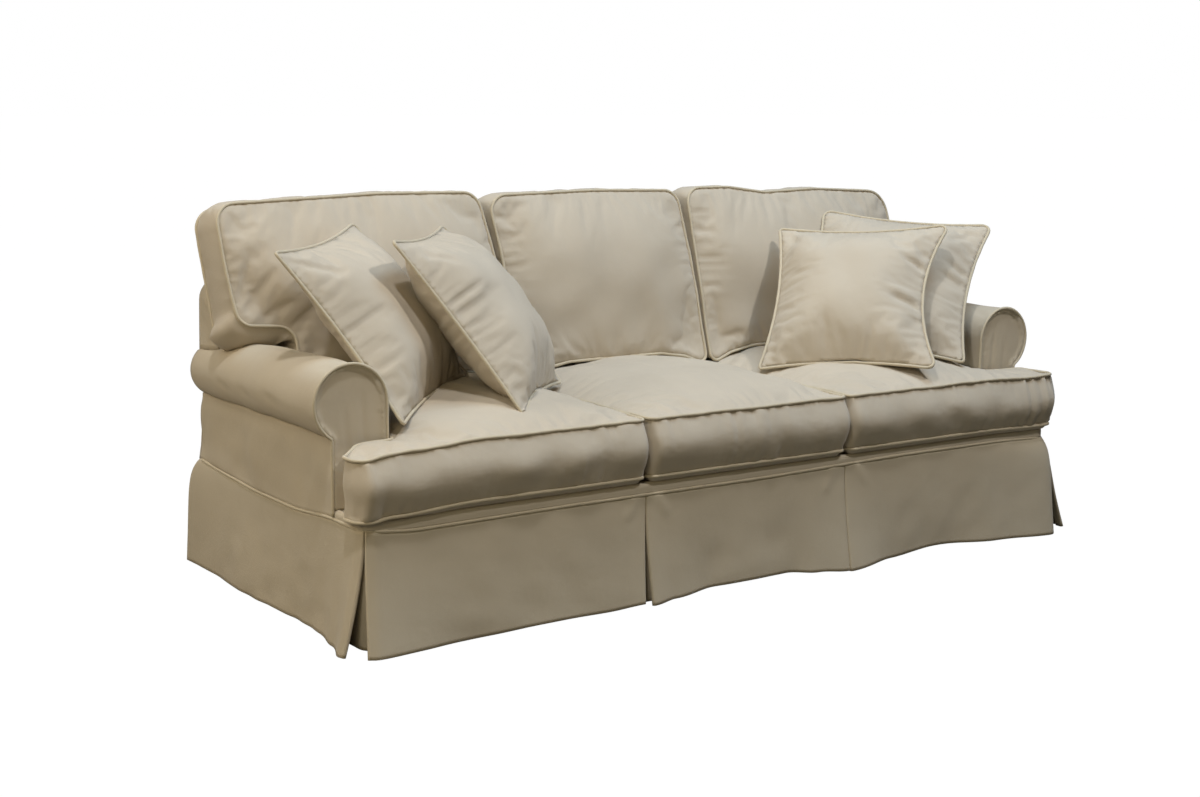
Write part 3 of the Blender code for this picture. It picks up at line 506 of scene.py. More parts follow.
# ---------------- gathers and creases
def puckers(near, away, seed, size, pitch, reach, strong=()):
    """Short creases that run in from a seam.

    near is the seam's nearest point and away the distance to it. Rows of strong are a place on
    the seam, how far round it the creases are stronger, and how many times.
    """
    near = np.asarray(near, float)
    away = np.asarray(away, float)
    n = waves(near, pitch, seed)
    crease = 0.45 * n - np.exp(-(n / 0.38) ** 2)
    long = reach * (0.45 + 0.8 * np.abs(waves(near, 3.1 * pitch, seed + 1)))
    large = 0.3 + 0.7 * ease(0.5 + 0.9 * waves(near, 7 * pitch, seed + 2))
    for u, v, radius, times in strong:
        pull = (times - 1.0) * np.exp(-((near[..., :2] - (u, v)) ** 2).sum(-1) / radius**2)
        large = large + pull
        long = long * (1.0 + 0.25 * pull)
    return size * large * crease * np.exp(-((away / long) ** 1.4)) * ease(away / 0.003)


# ---------------- the back
def back_panels():
    """Inside back, outside back, and the border over the sides and top between them."""
    side_y = inside_back_y(ROLL_Z + ROLL_RADIUS)
    inner = HALF_WIDTH - CLOTH - GAP
    inner_top = BACK_TOP - CLOTH - GAP
    notch = to_points(*on_roll(side_y, np.linspace(180, BACK_SIDE_ANGLE, 15), CLEAR))
    arm_x = ARM_INNER - GAP
    right = [(arm_x, DECK_Z - 2 * CLOTH), (arm_x, notch[0][1])]
    right += [(min(max(x, arm_x), inner), z) for x, z in notch[1:]]

    def crest(half, top):
        """Top edge of the back, from right to left."""
        line = rounded([(-half, top, BACK_TOP_CORNER), (-half, 0.5, SHARP), (half, 0.5, SHARP),
                        (half, top, BACK_TOP_CORNER)])
        line = [tuple(p) for p in line if p[1] > 0.6]
        return [p for p in line if p[0] > 0] + [p for p in line if p[0] < 0]

    outline = right + crest(inner, inner_top) + [(-x, z) for x, z in reversed(right)]

    def on(surface):
        return lambda p: to_points(p[:, 0], surface(p[:, 1]), p[:, 1])

    cut("inside_back", np.array(outline), 0.018, on(inside_back_y), (0, -1, 0))

    rear = SEAM_BACK - 0.01
    roll_edge = list(zip(*on_roll(rear, np.linspace(ROLL_END, BACK_SIDE_ANGLE, 13))))
    low = seam_height(HALF_ROUND) + SEAM + 2 * GAP
    silhouette = [(HALF_WIDTH - SEAM, low)] + roll_edge
    silhouette += [(HALF_WIDTH, roll_edge[-1][1] + 0.004)]
    top = crest(HALF_WIDTH, BACK_TOP)
    outline = silhouette + top + [(-x, z) for x, z in reversed(silhouette)]

    def slack(p):
        loose = ease((HALF_WIDTH - np.abs(p[:, 0])) / 0.04) * ease((p[:, 1] - low) / 0.03)
        return loose * (0.0022 * waves(p, 0.3, 41) - 0.002 * np.exp(-((p[:, 1] - 0.3) / 0.05)**2))

    cut("outside_back", np.array(outline), 0.013, on(outside_back_y), (0, 1, 0), slack)

    start = roll_edge[-1][1] + CLEAR + 0.012
    path = evenly(np.array([(HALF_WIDTH, start)] + top + [(-HALF_WIDTH, start)]), 0.012, False)
    t = np.linspace(0, 1, 13)[None, :]
    front, back = inside_back_y(path[:, 1])[:, None], before_outside_back(path[:, 1])[:, None]
    grid = to_points(path[:, :1], front * (1 - t) + back * t, path[:, 1:])
    free = np.sin(math.pi * t)
    lift = free * (0.002 * waves(grid, 0.11, 42) + 0.004)
    folds = strokes(grid[..., 1:].reshape(-1, 2), BACK_SIDE_FOLDS).reshape(lift.shape)
    lift = lift + np.where(grid[..., 2] < 0.7, folds, 0.0) * free
    middle, level, radius = roll(grid[..., 1])
    above = start - CLEAR - level - np.sqrt(radius**2 - (HALF_WIDTH - middle) ** 2)
    grid[..., 2] -= above * (1.0 - ease((grid[..., 2] - start) / 0.06))
    hung("back_border", "cover canvas", grid, (0, 0, 1), lift)


# Soft creases of the back's side: from and to (y, z), half width, height
BACK_SIDE_FOLDS = (
    (0.32, 0.64, 0.405, 0.69, 0.008, -0.003), (0.31, 0.665, 0.4, 0.715, 0.008, 0.003),
    (0.345, 0.62, 0.41, 0.65, 0.007, -0.003),
)


# ---------------- deck and front border
def deck_panels():
    """Deck under the seat cushions, and the front border that turns over on to its edge."""
    room = DECK_EDGE + GAP
    ear_x = HALF_WIDTH - room
    ear_rear = ARM_FRONT + 0.006
    rear = inside_back_y(DECK_Z - 2 * CLOTH) - 2 * GAP
    corner = FRONT_CORNER - room
    inner = ARM_INNER - GAP
    outline = rounded([
        (-ear_x, SEAM_FRONT + room, corner), (ear_x, SEAM_FRONT + room, corner),
        (ear_x, ear_rear, SHARP), (inner, ear_rear, SHARP), (inner, rear, SHARP),
        (-inner, rear, SHARP), (-inner, ear_rear, SHARP), (-ear_x, ear_rear, SHARP)])
    cut("deck", outline, 0.022, lambda p: to_points(*p.T, DECK_Z), (0, 0, 1))

    end = side_at(ARM_FRONT - GAP)
    s = np.linspace(-end, end, round(2 * end / SHEET_STEP))
    plan, out = seam_plan(s)
    edge = (0.0, 0.008), (0.0005, 0.004), (0.002, 0.002), (0.006, 0.0), (DECK_EDGE, 0.0)
    rows = []
    low = seam_height(s) + SEAM
    for share in (0.0, 0.33, 0.66):
        rows.append(to_points(*plan.T, low + (DECK_Z - 0.008 - low) * share))
    for inset, below in edge:
        rows.append(to_points(*(plan - out * inset).T, DECK_Z - below))
    hung("front_border", "cover canvas", np.array(rows), (0, -1, 0), 0.0)


# ---------------- arms
ARM_START = ARM_FRONT + CLOTH + GAP
ARM_FOOT = DECK_Z + 2 * GAP
ARM_SECTION = 0.25        # place along the arm whose section tells how high each line of it is
# Creases of the arm's cover: from and to (y, run over the roll), half width, height; the run is
# 0 at the foot of the inside and grows over the roll to its tuck
ARM_FOLDS = (
    (-0.33, 0.3, -0.25, 0.33, 0.006, -0.0025), (-0.33, 0.345, -0.27, 0.36, 0.006, -0.002),
    (-0.33, 0.4, -0.262, 0.405, 0.006, -0.0022), (-0.15, 0.52, -0.06, 0.5, 0.01, -0.003),
    (0.02, 0.53, 0.1, 0.505, 0.01, -0.003), (0.16, 0.525, 0.23, 0.5, 0.01, -0.003),
)


def arm_cover(name, side):
    """Inside of the arm and its roll in one cut, from the deck over to the roll's tuck."""
    share = np.linspace(0, 1, 24)[:-1]
    angle = np.linspace(180, ROLL_END, 46)
    rise = np.concatenate((ARM_FOOT + (ROLL_Z - ARM_FOOT) * share, on_roll(ARM_SECTION, angle)[1]))
    far = np.concatenate((np.full(len(share), 180.0), angle))
    behind = 1 - np.clip((far - 50) / 12, 0, 1)
    end = (inside_back_y(rise) + 0.008) * (1 - behind) + before_outside_back(rise) * behind
    t = np.linspace(0, 1, 68)[:, None] ** 1.15
    y = ARM_START + (end - ARM_START) * t
    share_all = np.concatenate((share, np.ones(len(angle))))
    roll_x, roll_z, radius = roll(y)
    wall_x = ARM_INNER + (roll_x - radius - ARM_INNER) * share_all
    wall_z = ARM_FOOT + (roll_z - ARM_FOOT) * share_all
    on_x, on_z = roll_x + radius * np.cos(np.radians(far)), roll_z + radius * np.sin(np.radians(far))
    upper = np.arange(len(far)) >= len(share)
    x, z = np.where(upper, on_x, wall_x), np.where(upper, on_z, wall_z)
    grid = to_points(side * x, y, z)
    section = to_points(x, z)[0]
    run = np.r_[0, np.cumsum(np.linalg.norm(np.diff(section, axis=0), axis=1))]
    run = np.broadcast_to(run, y.shape)
    seam = puckers(to_points(run, 0.0), y - ARM_START, 50 + side, 0.0014, 0.022, 0.035)
    tuck = puckers(to_points(y, 0.0), run[0, -1] - run, 60 + side, 0.0016, 0.034, 0.028)
    lift = seam + tuck + 0.0016 * waves(grid, 0.14, 70 + side)
    lift = lift + strokes(to_points(y, run).reshape(-1, 2), ARM_FOLDS).reshape(y.shape)
    hung(f"arm_cover_{name}", "cover canvas", grid, (0, 0, 1), lift)


def outside_arm(name, side):
    """Panel from the skirt's seam up to the tuck under the roll."""
    y = np.linspace(ARM_START, SEAM_BACK - 2 * CLOTH, 70)
    s = side * side_at(y)
    low = seam_height(s) + SEAM
    t = np.linspace(0, 1, 20)[:, None]
    neck_x, neck_z = on_roll(y, ROLL_END)
    z = low + (neck_z - 2 * GAP - low) * t
    y = np.broadcast_to(y, z.shape).copy()
    y[:, -1] = outside_back_y(z[:, -1]) - GAP
    grid = to_points(side * (HALF_WIDTH + (neck_x - HALF_WIDTH) * t), y, z)
    free = np.sin(math.pi * t) ** 0.6
    lift = free * (0.003 * waves(grid, 0.2, 80 + side) + 0.0012 * waves(grid, 0.07, 82 + side))
    lift = lift - 0.004 * free * np.exp(-((t - 0.93) / 0.08) ** 2)
    hung(f"outside_arm_{name}", "cover canvas", grid, (side, 0, 0), lift)


def arm_front(name, side):
    """Facing of the arm's front, gathered round the roll."""
    arch = to_points(*on_roll(ARM_FRONT, np.linspace(ROLL_END, 180, 60)))
    outline = np.vstack(([(ARM_INNER, ARM_FOOT), (HALF_WIDTH, ARM_FOOT)], arch)) * (side, 1)
    outline = outline if side > 0 else outline[::-1]
    fine = evenly(outline, 0.007)

    def swell(p):
        away, near = seam_of(p, fine)
        upper = ease((p[:, 1] - 0.34) / 0.1)
        crease = strokes(to_points(np.abs(p[:, 0]), p[:, 1]), ARM_FRONT_FOLDS)
        return (-crown(0.007, 0.016, away) * upper + crease * ease(away / 0.01)
                + puckers(near, away, 90 + side, 0.0015, 0.018, 0.025) * upper)

    cut(f"arm_front_{name}", fine, 0.007, lambda p: to_points(p[:, 0], ARM_FRONT, p[:, 1]),
        (0, -1, 0), swell)


def arm_piping(name, side):
    """Welt round the arm's front, from the deck over the roll down to the skirt's seam."""
    room = PIPING + GAP
    leg = ARM_INNER - room
    neck = (on_roll(ARM_FRONT, ROLL_END)[0] + room - ROLL_X) / (ROLL_RADIUS + room)
    angles = np.linspace(180, -math.degrees(math.acos(neck)), 60)
    path = [(leg, ARM_FOOT + room), (leg, 0.45)] + list(zip(*on_roll(ARM_FRONT, angles, room)))
    low = float(seam_height(side * side_at(ARM_FRONT))) + SEAM + 2 * PIPING
    path += [(HALF_WIDTH + room, z) for z in (0.42, low)]
    line = np.array([(side * x, ARM_FRONT + CLOTH / 2, z) for x, z in path])
    welt(f"piping_arm_{name}", line, (0, 1, 0), False, 95 + side)


# Creases of the arm's front: from and to (x, z), half width, height
ARM_FRONT_FOLDS = (
    (0.962, 0.4, 0.968, 0.545, 0.006, -0.003), (1.0, 0.38, 1.012, 0.52, 0.007, -0.002),
    (0.985, 0.33, 0.99, 0.45, 0.008, 0.0015),
)


# ---------------- skirt
OPEN = 0.0025             # half of an opening, at the seam
# Panels: name, from and to along the seam, direction, and hem. Rows of the hem are a share of
# the panel's length, how far out, height over the floor, and where they aren't 0 how far aside
# and how soon the panel swings out, from 0 to 1
SKIRT = (
    ("skirt_front_left", -FRONT_CORNER_AT + OPEN, -DIVIDE - OPEN, (0, -1), (
        (0.0, 0.044, 0.004, -0.018), (0.3, 0.026, 0.004), (0.65, 0.02, 0.009),
        (0.86, 0.026, 0.008), (1.0, 0.026, 0.012, -0.012))),
    ("skirt_front_centre", -DIVIDE + OPEN, DIVIDE - OPEN, (0, -1), (
        (0.0, 0.032, 0.006, 0.004), (0.12, 0.022, 0.012), (0.32, 0.01, 0.02),
        (0.68, 0.012, 0.021), (0.84, 0.03, 0.012), (1.0, 0.036, 0.004, -0.001))),
    ("skirt_front_right", DIVIDE + OPEN, FRONT_CORNER_AT - OPEN, (0, -1), (
        (0.0, 0.04, 0.003, -0.003), (0.2, 0.022, 0.012), (0.42, 0.01, 0.021, 0.0, 0.1),
        (0.72, 0.026, 0.011, 0.0, 0.4), (1.0, 0.046, 0.003, 0.02, 0.6))),
    ("skirt_side_right", FRONT_CORNER_AT + OPEN, BACK_CORNER_AT - OPEN, (1, 0), (
        (0.0, 0.104, 0.003, -0.006, 0.3), (0.12, 0.044, 0.005, 0.0, 0.2), (0.3, 0.012, 0.008),
        (0.6, 0.017, 0.004), (0.84, 0.012, 0.006, 0.012, 0.3), (1.0, 0.02, 0.003, 0.06, 0.6))),
    ("skirt_back", BACK_CORNER_AT + 2 * OPEN, 2 * HALF_ROUND - BACK_CORNER_AT - 2 * OPEN,
     (0, 1), (
        (0.0, 0.05, 0.003, -0.012, 0.6), (0.12, 0.046, 0.006, 0.0, 0.3), (0.3, 0.052, 0.004),
        (0.5, 0.043, 0.008), (0.7, 0.051, 0.004), (0.88, 0.045, 0.006, 0.0, 0.4),
        (1.0, 0.05, 0.003, 0.012, 0.75))),
    ("skirt_side_left", -BACK_CORNER_AT + OPEN, -FRONT_CORNER_AT - OPEN, (-1, 0), (
        (0.0, 0.02, 0.003, -0.06, 0.75), (0.16, 0.013, 0.003, -0.012, 0.45),
        (0.33, 0.017, 0.003, 0.0, 0.15), (0.55, 0.011, 0.004), (0.8, 0.012, 0.008),
        (0.9, 0.028, 0.004), (1.0, 0.054, 0.003, 0.004))),
)
# Strips behind the openings: name, middle along the seam, half width, how far out at the hem
UNDERLAYS = (
    ("underlay_front_left_corner", -FRONT_CORNER_AT, 0.085, 0.006),
    ("underlay_front_left", -DIVIDE, 0.075, 0.012),
    ("underlay_front_right", DIVIDE, 0.075, 0.018),
    ("underlay_front_right_corner", FRONT_CORNER_AT, 0.085, 0.006),
    ("underlay_back_right_corner", BACK_CORNER_AT, 0.085, 0.006),
    ("underlay_back_left_corner", 2 * HALF_ROUND - BACK_CORNER_AT, 0.085, 0.006),
)
UNDERLAY_HEM = 0.008      # over the floor
DROP = 0.27               # height of the skirt, for its folds
KICK = 1.5                # how late a panel swings out
HANG_ROWS = 30            # rows of points from the seam to the hem
FOLD_RADIUS = 0.0028      # of a panel's folded upright edges
RETURN = 0.016            # how far the cloth goes on behind a folded edge


def skirt_panel(name, start, end, facing, hem, seed):
    """One panel, from the seam to its own hem, with its upright edges folded behind it."""
    edge = FOLD_RADIUS
    inner = np.linspace(start + edge, end - edge, max(8, round((end - start) / SHEET_STEP)))
    turn = np.radians(np.linspace(0, 180, 7))[1:]
    arc = [(edge * math.sin(a), edge * (1 - math.cos(a))) for a in turn]
    arc += [(-RETURN * k / 3, 2 * edge) for k in (1, 2, 3)]
    s = np.r_[[start + edge] * len(arc), inner, [end - edge] * len(arc)]
    beside = np.r_[[-a for a, _ in reversed(arc)], np.zeros(len(inner)), [a for a, _ in arc]]
    behind = np.r_[[b for _, b in reversed(arc)], np.zeros(len(inner)), [b for _, b in arc]]
    share = np.clip((s - start) / (end - start), 0, 1)
    t = np.linspace(0, 1, HANG_ROWS)[:, None]
    hem = [row + (0.0,) * (5 - len(row)) for row in hem]
    plan, _ = seam_plan(s)
    facing = np.array(facing, float)
    towards = np.array((-facing[1], facing[0]))
    gentle = np.sin(math.pi * share) ** 0.35
    spot = to_points(s, 0.25 * t)
    folds = 0.0038 * waves(spot, 0.3, seed) * t**1.2 + 0.0012 * waves(spot, 0.1, seed + 1) * t
    flat = to_points(share * (end - start), DROP * t).reshape(-1, 2)
    folds = folds * gentle + strokes(flat, SKIRT_FOLDS.get(name, ())).reshape(len(t), -1)
    seam = puckers(to_points(s, 0.0 * t), DROP * t, seed + 2, 0.001, 0.03, 0.022)
    seam = seam * ease(DROP * t / 0.03)
    quick = along(hem, share, 4)
    flare = t**KICK * (1.0 - quick) + (1.0 - np.exp(-t / 0.12)) * quick
    out = along(hem, share) * flare + folds + seam - behind * (0.3 + 0.7 * ease(t / 0.25))
    aside = along(hem, share, 3) * flare + beside
    top = seam_height(s) - SEAM
    bottom = along(hem, share, 2)
    grid = to_points(plan[:, 0] + facing[0] * out + towards[0] * aside,
                     plan[:, 1] + facing[1] * out + towards[1] * aside, top + (bottom - top) * t)
    hung(name, "skirt canvas", grid, (*facing, 0), 0.0)


def underlay(name, middle, half_width, hem_out, seed):
    """Strip behind an opening of the skirt, hung from the same seam."""
    s = np.linspace(middle - half_width, middle + half_width, round(2 * half_width / SHEET_STEP))
    t = np.linspace(0, 1, HANG_ROWS)[:, None]
    plan, out = seam_plan(s)
    length = np.linalg.norm(out, axis=1)
    out = out / np.where(length > 1.2, 1.0, length)[:, None]
    spot = to_points(s, 0.25 * t)
    step = hem_out * t - (CLOTH + 2 * GAP) - 0.004 * t - 2 * FOLD_RADIUS * ease(t / 0.25)
    step = step + 0.002 * waves(spot, 0.12, seed) * t
    top = seam_height(s) - SEAM
    grid = to_points(plan[:, 0] + out[:, 0] * step, plan[:, 1] + out[:, 1] * step,
                     top + (UNDERLAY_HEM - top) * t)
    facing = seam_plan(middle)[1]
    hung(name, "skirt canvas", grid, (*facing, 0), 0.0)


# Folds of the skirt: from and to (along the panel, below the seam), half width, height
SKIRT_FOLDS = {
    "skirt_front_left": ((0.7, 0.0, 0.66, 0.06, 0.01, 0.003),
                         (0.3, 0.09, 0.25, 0.26, 0.035, 0.002)),
    "skirt_front_centre": ((0.03, 0.0, 0.06, 0.06, 0.01, 0.003),
                           (0.58, 0.0, 0.54, 0.07, 0.01, 0.003)),
    "skirt_front_right": ((0.03, 0.0, 0.07, 0.06, 0.01, 0.003),),
}


def skirt():
    """Panels, the strips behind their openings, and the piping in their seam."""
    for k, row in enumerate(SKIRT):
        skirt_panel(*row, 200 + 10 * k)
    for k, row in enumerate(UNDERLAYS):
        underlay(*row, 300 + 10 * k)
    s = np.linspace(-HALF_ROUND, HALF_ROUND, 1200)[:-1]
    plan, out = seam_plan(s)
    line = to_points(*(plan + out * SEWN_IN * PIPING).T, seam_height(s))
    line = sum(np.roll(line, k, 0) for k in range(-4, 5)) / 9
    welt("piping_skirt", line, (0, 0, 1), True, 310)


# ---------------- cushions
def crown(height, reach, distance, sharpness=CROWN_SHARPNESS):
    """Height of a filled face at a distance from its seam."""
    return height * (1.0 - (1.0 - np.minimum(distance / reach, 1.0)) ** sharpness)


def lip(distance, height=0.0022):
    """How the cloth stands up beside the piping."""
    return height * (1.0 - np.exp(-(np.asarray(distance, float) / 0.006) ** 1.5))


def relaxed(values, faces, rim, rounds):
    """Values on a face's points, evened out as filled cloth is; the first rim points keep theirs."""
    pairs = np.unique(np.sort(np.vstack((faces[:, :2], faces[:, 1:], faces[:, ::2])), axis=1), axis=0)
    a, b = pairs.T
    degree = np.bincount(a, minlength=len(values)) + np.bincount(b, minlength=len(values))
    highest = values.max()
    for _ in range(rounds):
        total = (np.bincount(a, values[b], len(values)) + np.bincount(b, values[a], len(values)))
        fresh = total / degree
        fresh[:rim] = values[:rim]
        values = fresh
    return values * highest / values.max()


FILLED = []               # cushions, and how far each of their points is held, 0 to 1


def cushion(node, outline, depth, crowns, detail, boxing, place, rests):
    """Filled cushion: two crowned faces on one outline, depth apart, with a boxing between.

    crowns are the front's and the back's height, reach, sharpness and rounds of evening out.
    detail gives the creases of a face, 0 in front and 1 behind, from flat points, their distance
    to the seam and the seam's nearest points. boxing gives how far the side stands out from the
    seam at a share of its depth. rests tells which points lie on something, from 0 to 1: of a
    face, 0 in front and 1 behind, or of the boxing, 2, from the flat points, the ways out of the
    outline and the heights.
    """
    points, faces = filled(outline, CUSHION_STEP)
    rim = len(outline)
    away, near = seam_of(points, outline)
    away[:rim] = 0.0
    near[:rim] = outline
    out = outward(outline)
    rises = []
    for k, (height, reach, sharpness, rounds) in enumerate(crowns):
        rise = crown(height, reach, away, sharpness)
        if rounds:
            rise = relaxed(rise, faces, rim, rounds)
        rises.append(rise + detail(k, points, away, near) + (0.0 if k and depth else lip(away)))
    vertices = [place(points, depth / 2 + rises[0])]
    free = ease(away / 0.012)
    held = [np.maximum(1.0 - free, rests(0, points, out, depth / 2 + rises[0]))]
    rings = [np.arange(rim)]
    total = len(points)
    for row in range(1, BOXING_ROWS if depth else 0):
        share = row / BOXING_ROWS
        swell = boxing(outline, out, share)
        level = np.full(rim, depth / 2 - depth * share)
        vertices.append(place(outline + swell, level))
        held.append(rests(2, outline + swell, out, level))
        rings.append(np.arange(total, total + rim))
        total += rim
    first = 0 if depth else rim
    base = total - first
    vertices.append(place(points[first:], -depth / 2 - rises[1][first:]))
    under = np.maximum(1.0 - free, rests(1, points, out, -depth / 2 - rises[1]))
    held.append(under[first:])
    if depth:
        rings.append(np.arange(base, base + rim))
    lower = np.where(faces >= first, faces + base, faces)[:, ::-1]
    mesh_faces = faces.tolist() + lower.tolist()
    for a, b in zip(rings, rings[1:]):
        mesh_faces += np.column_stack((a, b, np.roll(b, -1), np.roll(a, -1))).tolist()
    thing = piece(f"{node}_filled", node, "cushion canvas", np.vstack(vertices), mesh_faces)
    FILLED.append((thing, np.concatenate([np.broadcast_to(h, len(v))
                                          for h, v in zip(held, vertices)])))


FILLING = {
    "quality": 5, "mass": 0.25, "tension_stiffness": 20, "compression_stiffness": 20,
    "shear_stiffness": 8, "bending_stiffness": 0.15, "air_damping": 4, "use_pressure": True,
    "uniform_pressure_force": 3.0, "vertex_group_mass": "held", "shrink_min": -0.024}
FILLING_FRAMES = 20
FILLING_REACH = 0.01      # how far a point of the cloth may move


def fill_cushions():
    """Cloth simulation: covers cut a little large are filled until they wrinkle at the seams."""
    scene = bpy.context.scene
    for thing, held in FILLED:
        group = thing.vertex_groups.new(name="held")
        for k, weight in enumerate(held):
            group.add([k], float(weight), "REPLACE")
        filling = thing.modifiers.new("filling", "CLOTH")
        settings = filling.settings
        for setting, value in FILLING.items():
            setattr(settings, setting, value)
        settings.effector_weights.gravity = 0.0
        filling.collision_settings.use_collision = False
        filling.point_cache.frame_start = 1
        filling.point_cache.frame_end = FILLING_FRAMES
    for number in range(1, FILLING_FRAMES + 1):
        scene.frame_set(number)
    graph = bpy.context.evaluated_depsgraph_get()
    for thing, held in FILLED:
        count = len(thing.data.vertices)
        start, end = np.empty(count * 3), np.empty(count * 3)
        thing.data.vertices.foreach_get("co", start)
        thing.evaluated_get(graph).data.vertices.foreach_get("co", end)
        start, move = start.reshape(-1, 3), (end - start).reshape(-1, 3)
        far = np.maximum(np.linalg.norm(move, axis=1), 1e-9)
        move = move / far[:, None] * (FILLING_REACH * np.tanh(far / FILLING_REACH))[:, None]
        moved = start + move * (1.0 - held)[:, None]
        thing.modifiers.remove(thing.modifiers["filling"])
        thing.vertex_groups.clear()
        thing.data.vertices.foreach_set("co", moved.ravel())
        thing.data.update()
    scene.frame_set(1)


def creases(p, away, near, seed, pitch, strong, length, folds, sunk=0.0):
    """What breaks the crown of a face: gathers at its seam, soft waves and drawn folds."""
    rise = puckers(near, away, seed, 0.0011, pitch, 0.034, strong) - sunk
    rise = rise + 0.0022 * waves(p, length, seed + 1) * ease(away / 0.06)
    return rise + strokes(p, folds) * ease(away / 0.012)


def gathers(p, share, depth, seed, size, pitch, reach, strong):
    """Creases of a boxing, from both its seams, at a share of its depth."""
    return sum(puckers(p, np.full(len(p), depth * far), seed + half, size, pitch, reach, strong)
               for half, far in enumerate((share, 1 - share)))


def seam_cord(node, outline, level, lift, place, reference, seed):
    """Piping along a cushion's seam, aslant outside it: lift is 1 above the seam, -1 below it."""
    room = SEWN_IN * PIPING * math.sqrt(0.5)
    line = place(outline + outward(outline) * room, np.full(len(outline), level + lift * room))
    welt(node, line, reference, True, seed)


SEAT_OUTLINES = {
    "left": rounded([
        (-SEAT_EAR + 0.014, SEAT_FRONT, 0.035), (-DIVIDE - WELT_ROOM, SEAT_FRONT, 0.018),
        (-DIVIDE - WELT_ROOM, SEAT_REAR, 0.018), (-SEAT_SIDE, SEAT_REAR, 0.018),
        (-SEAT_SIDE, SEAT_EAR_REAR, 0.01), (-0.992, SEAT_EAR_REAR, 0.03),
        (-1.057, -0.415, 0.02)]),
    "centre": rounded([
        (-DIVIDE + WELT_ROOM, SEAT_FRONT, 0.018), (DIVIDE - WELT_ROOM, SEAT_FRONT, 0.018),
        (DIVIDE - WELT_ROOM, SEAT_REAR, 0.018), (-DIVIDE + WELT_ROOM, SEAT_REAR, 0.018)]),
    "right": rounded([
        (DIVIDE + WELT_ROOM, SEAT_FRONT, 0.018), (SEAT_EAR, SEAT_FRONT, 0.035),
        (SEAT_EAR_BEHIND, SEAT_EAR_REAR, 0.028), (SEAT_SIDE, SEAT_EAR_REAR, 0.01),
        (SEAT_SIDE, SEAT_REAR, 0.018), (DIVIDE + WELT_ROOM, SEAT_REAR, 0.018)]),
}
SEAT_OUTLINES = {name: evenly(line, CUSHION_STEP) for name, line in SEAT_OUTLINES.items()}
SEAT_MIDDLE = (SEAT_TOP + SEAT_BOTTOM) / 2
SEAT_DEPTH = SEAT_TOP - SEAT_BOTTOM


def crowned(x, y, outlines, height, reach):
    """Flat points, and how high the crowned faces stand over them."""
    points = to_points(x, y)
    rise = np.zeros(len(points))
    for outline in outlines:
        inside = within(points, outline)
        if inside.any():
            rise[inside] = crown(height, reach, seam_of(points[inside], outline)[0])
    return points, rise


def seat_height(x, y):
    """Top of the seat cushions."""
    points, rise = crowned(x, y, SEAT_OUTLINES.values(), SEAT_CROWN, SEAT_REACH)
    return SEAT_TOP + rise - along(SINK, points[:, 0])


# Creases of the seats' tops: from and to (x, y), half width, height
SEAT_FOLDS = {
    "left": (
        (-1.03, -0.47, -1.0, -0.41, 0.008, -0.004), (-0.985, -0.475, -0.96, -0.42, 0.008, -0.003),
        (-1.06, -0.42, -1.01, -0.405, 0.007, -0.003), (-0.93, -0.35, -0.9, -0.4, 0.012, -0.003),
        (-0.76, -0.47, -0.74, -0.43, 0.01, -0.002)),
    "centre": (
        (-0.14, -0.47, -0.12, -0.43, 0.01, -0.002), (0.18, -0.475, 0.17, -0.42, 0.01, -0.002)),
    "right": (
        (0.98, -0.47, 0.95, -0.4, 0.01, -0.004), (1.02, -0.47, 1.0, -0.41, 0.009, -0.004),
        (1.06, -0.44, 1.01, -0.42, 0.008, -0.003), (0.92, -0.36, 0.95, -0.42, 0.012, -0.003),
        (0.86, -0.475, 0.85, -0.43, 0.01, -0.0025)),
}
# Stronger gathers of their seams: x, y, how far round, how many times
SEAT_STRONG = {
    "left": ((-1.05, -0.47, 0.06, 3.0), (-0.36, -0.477, 0.04, 1.6), (-0.9, -0.35, 0.05, 2.5)),
    "centre": ((0.02, -0.477, 0.1, 2.2), (-0.29, -0.47, 0.04, 1.8)),
    "right": ((0.96, -0.477, 0.12, 2.6), (0.7, -0.477, 0.1, 1.6), (1.05, -0.47, 0.05, 2.6)),
}


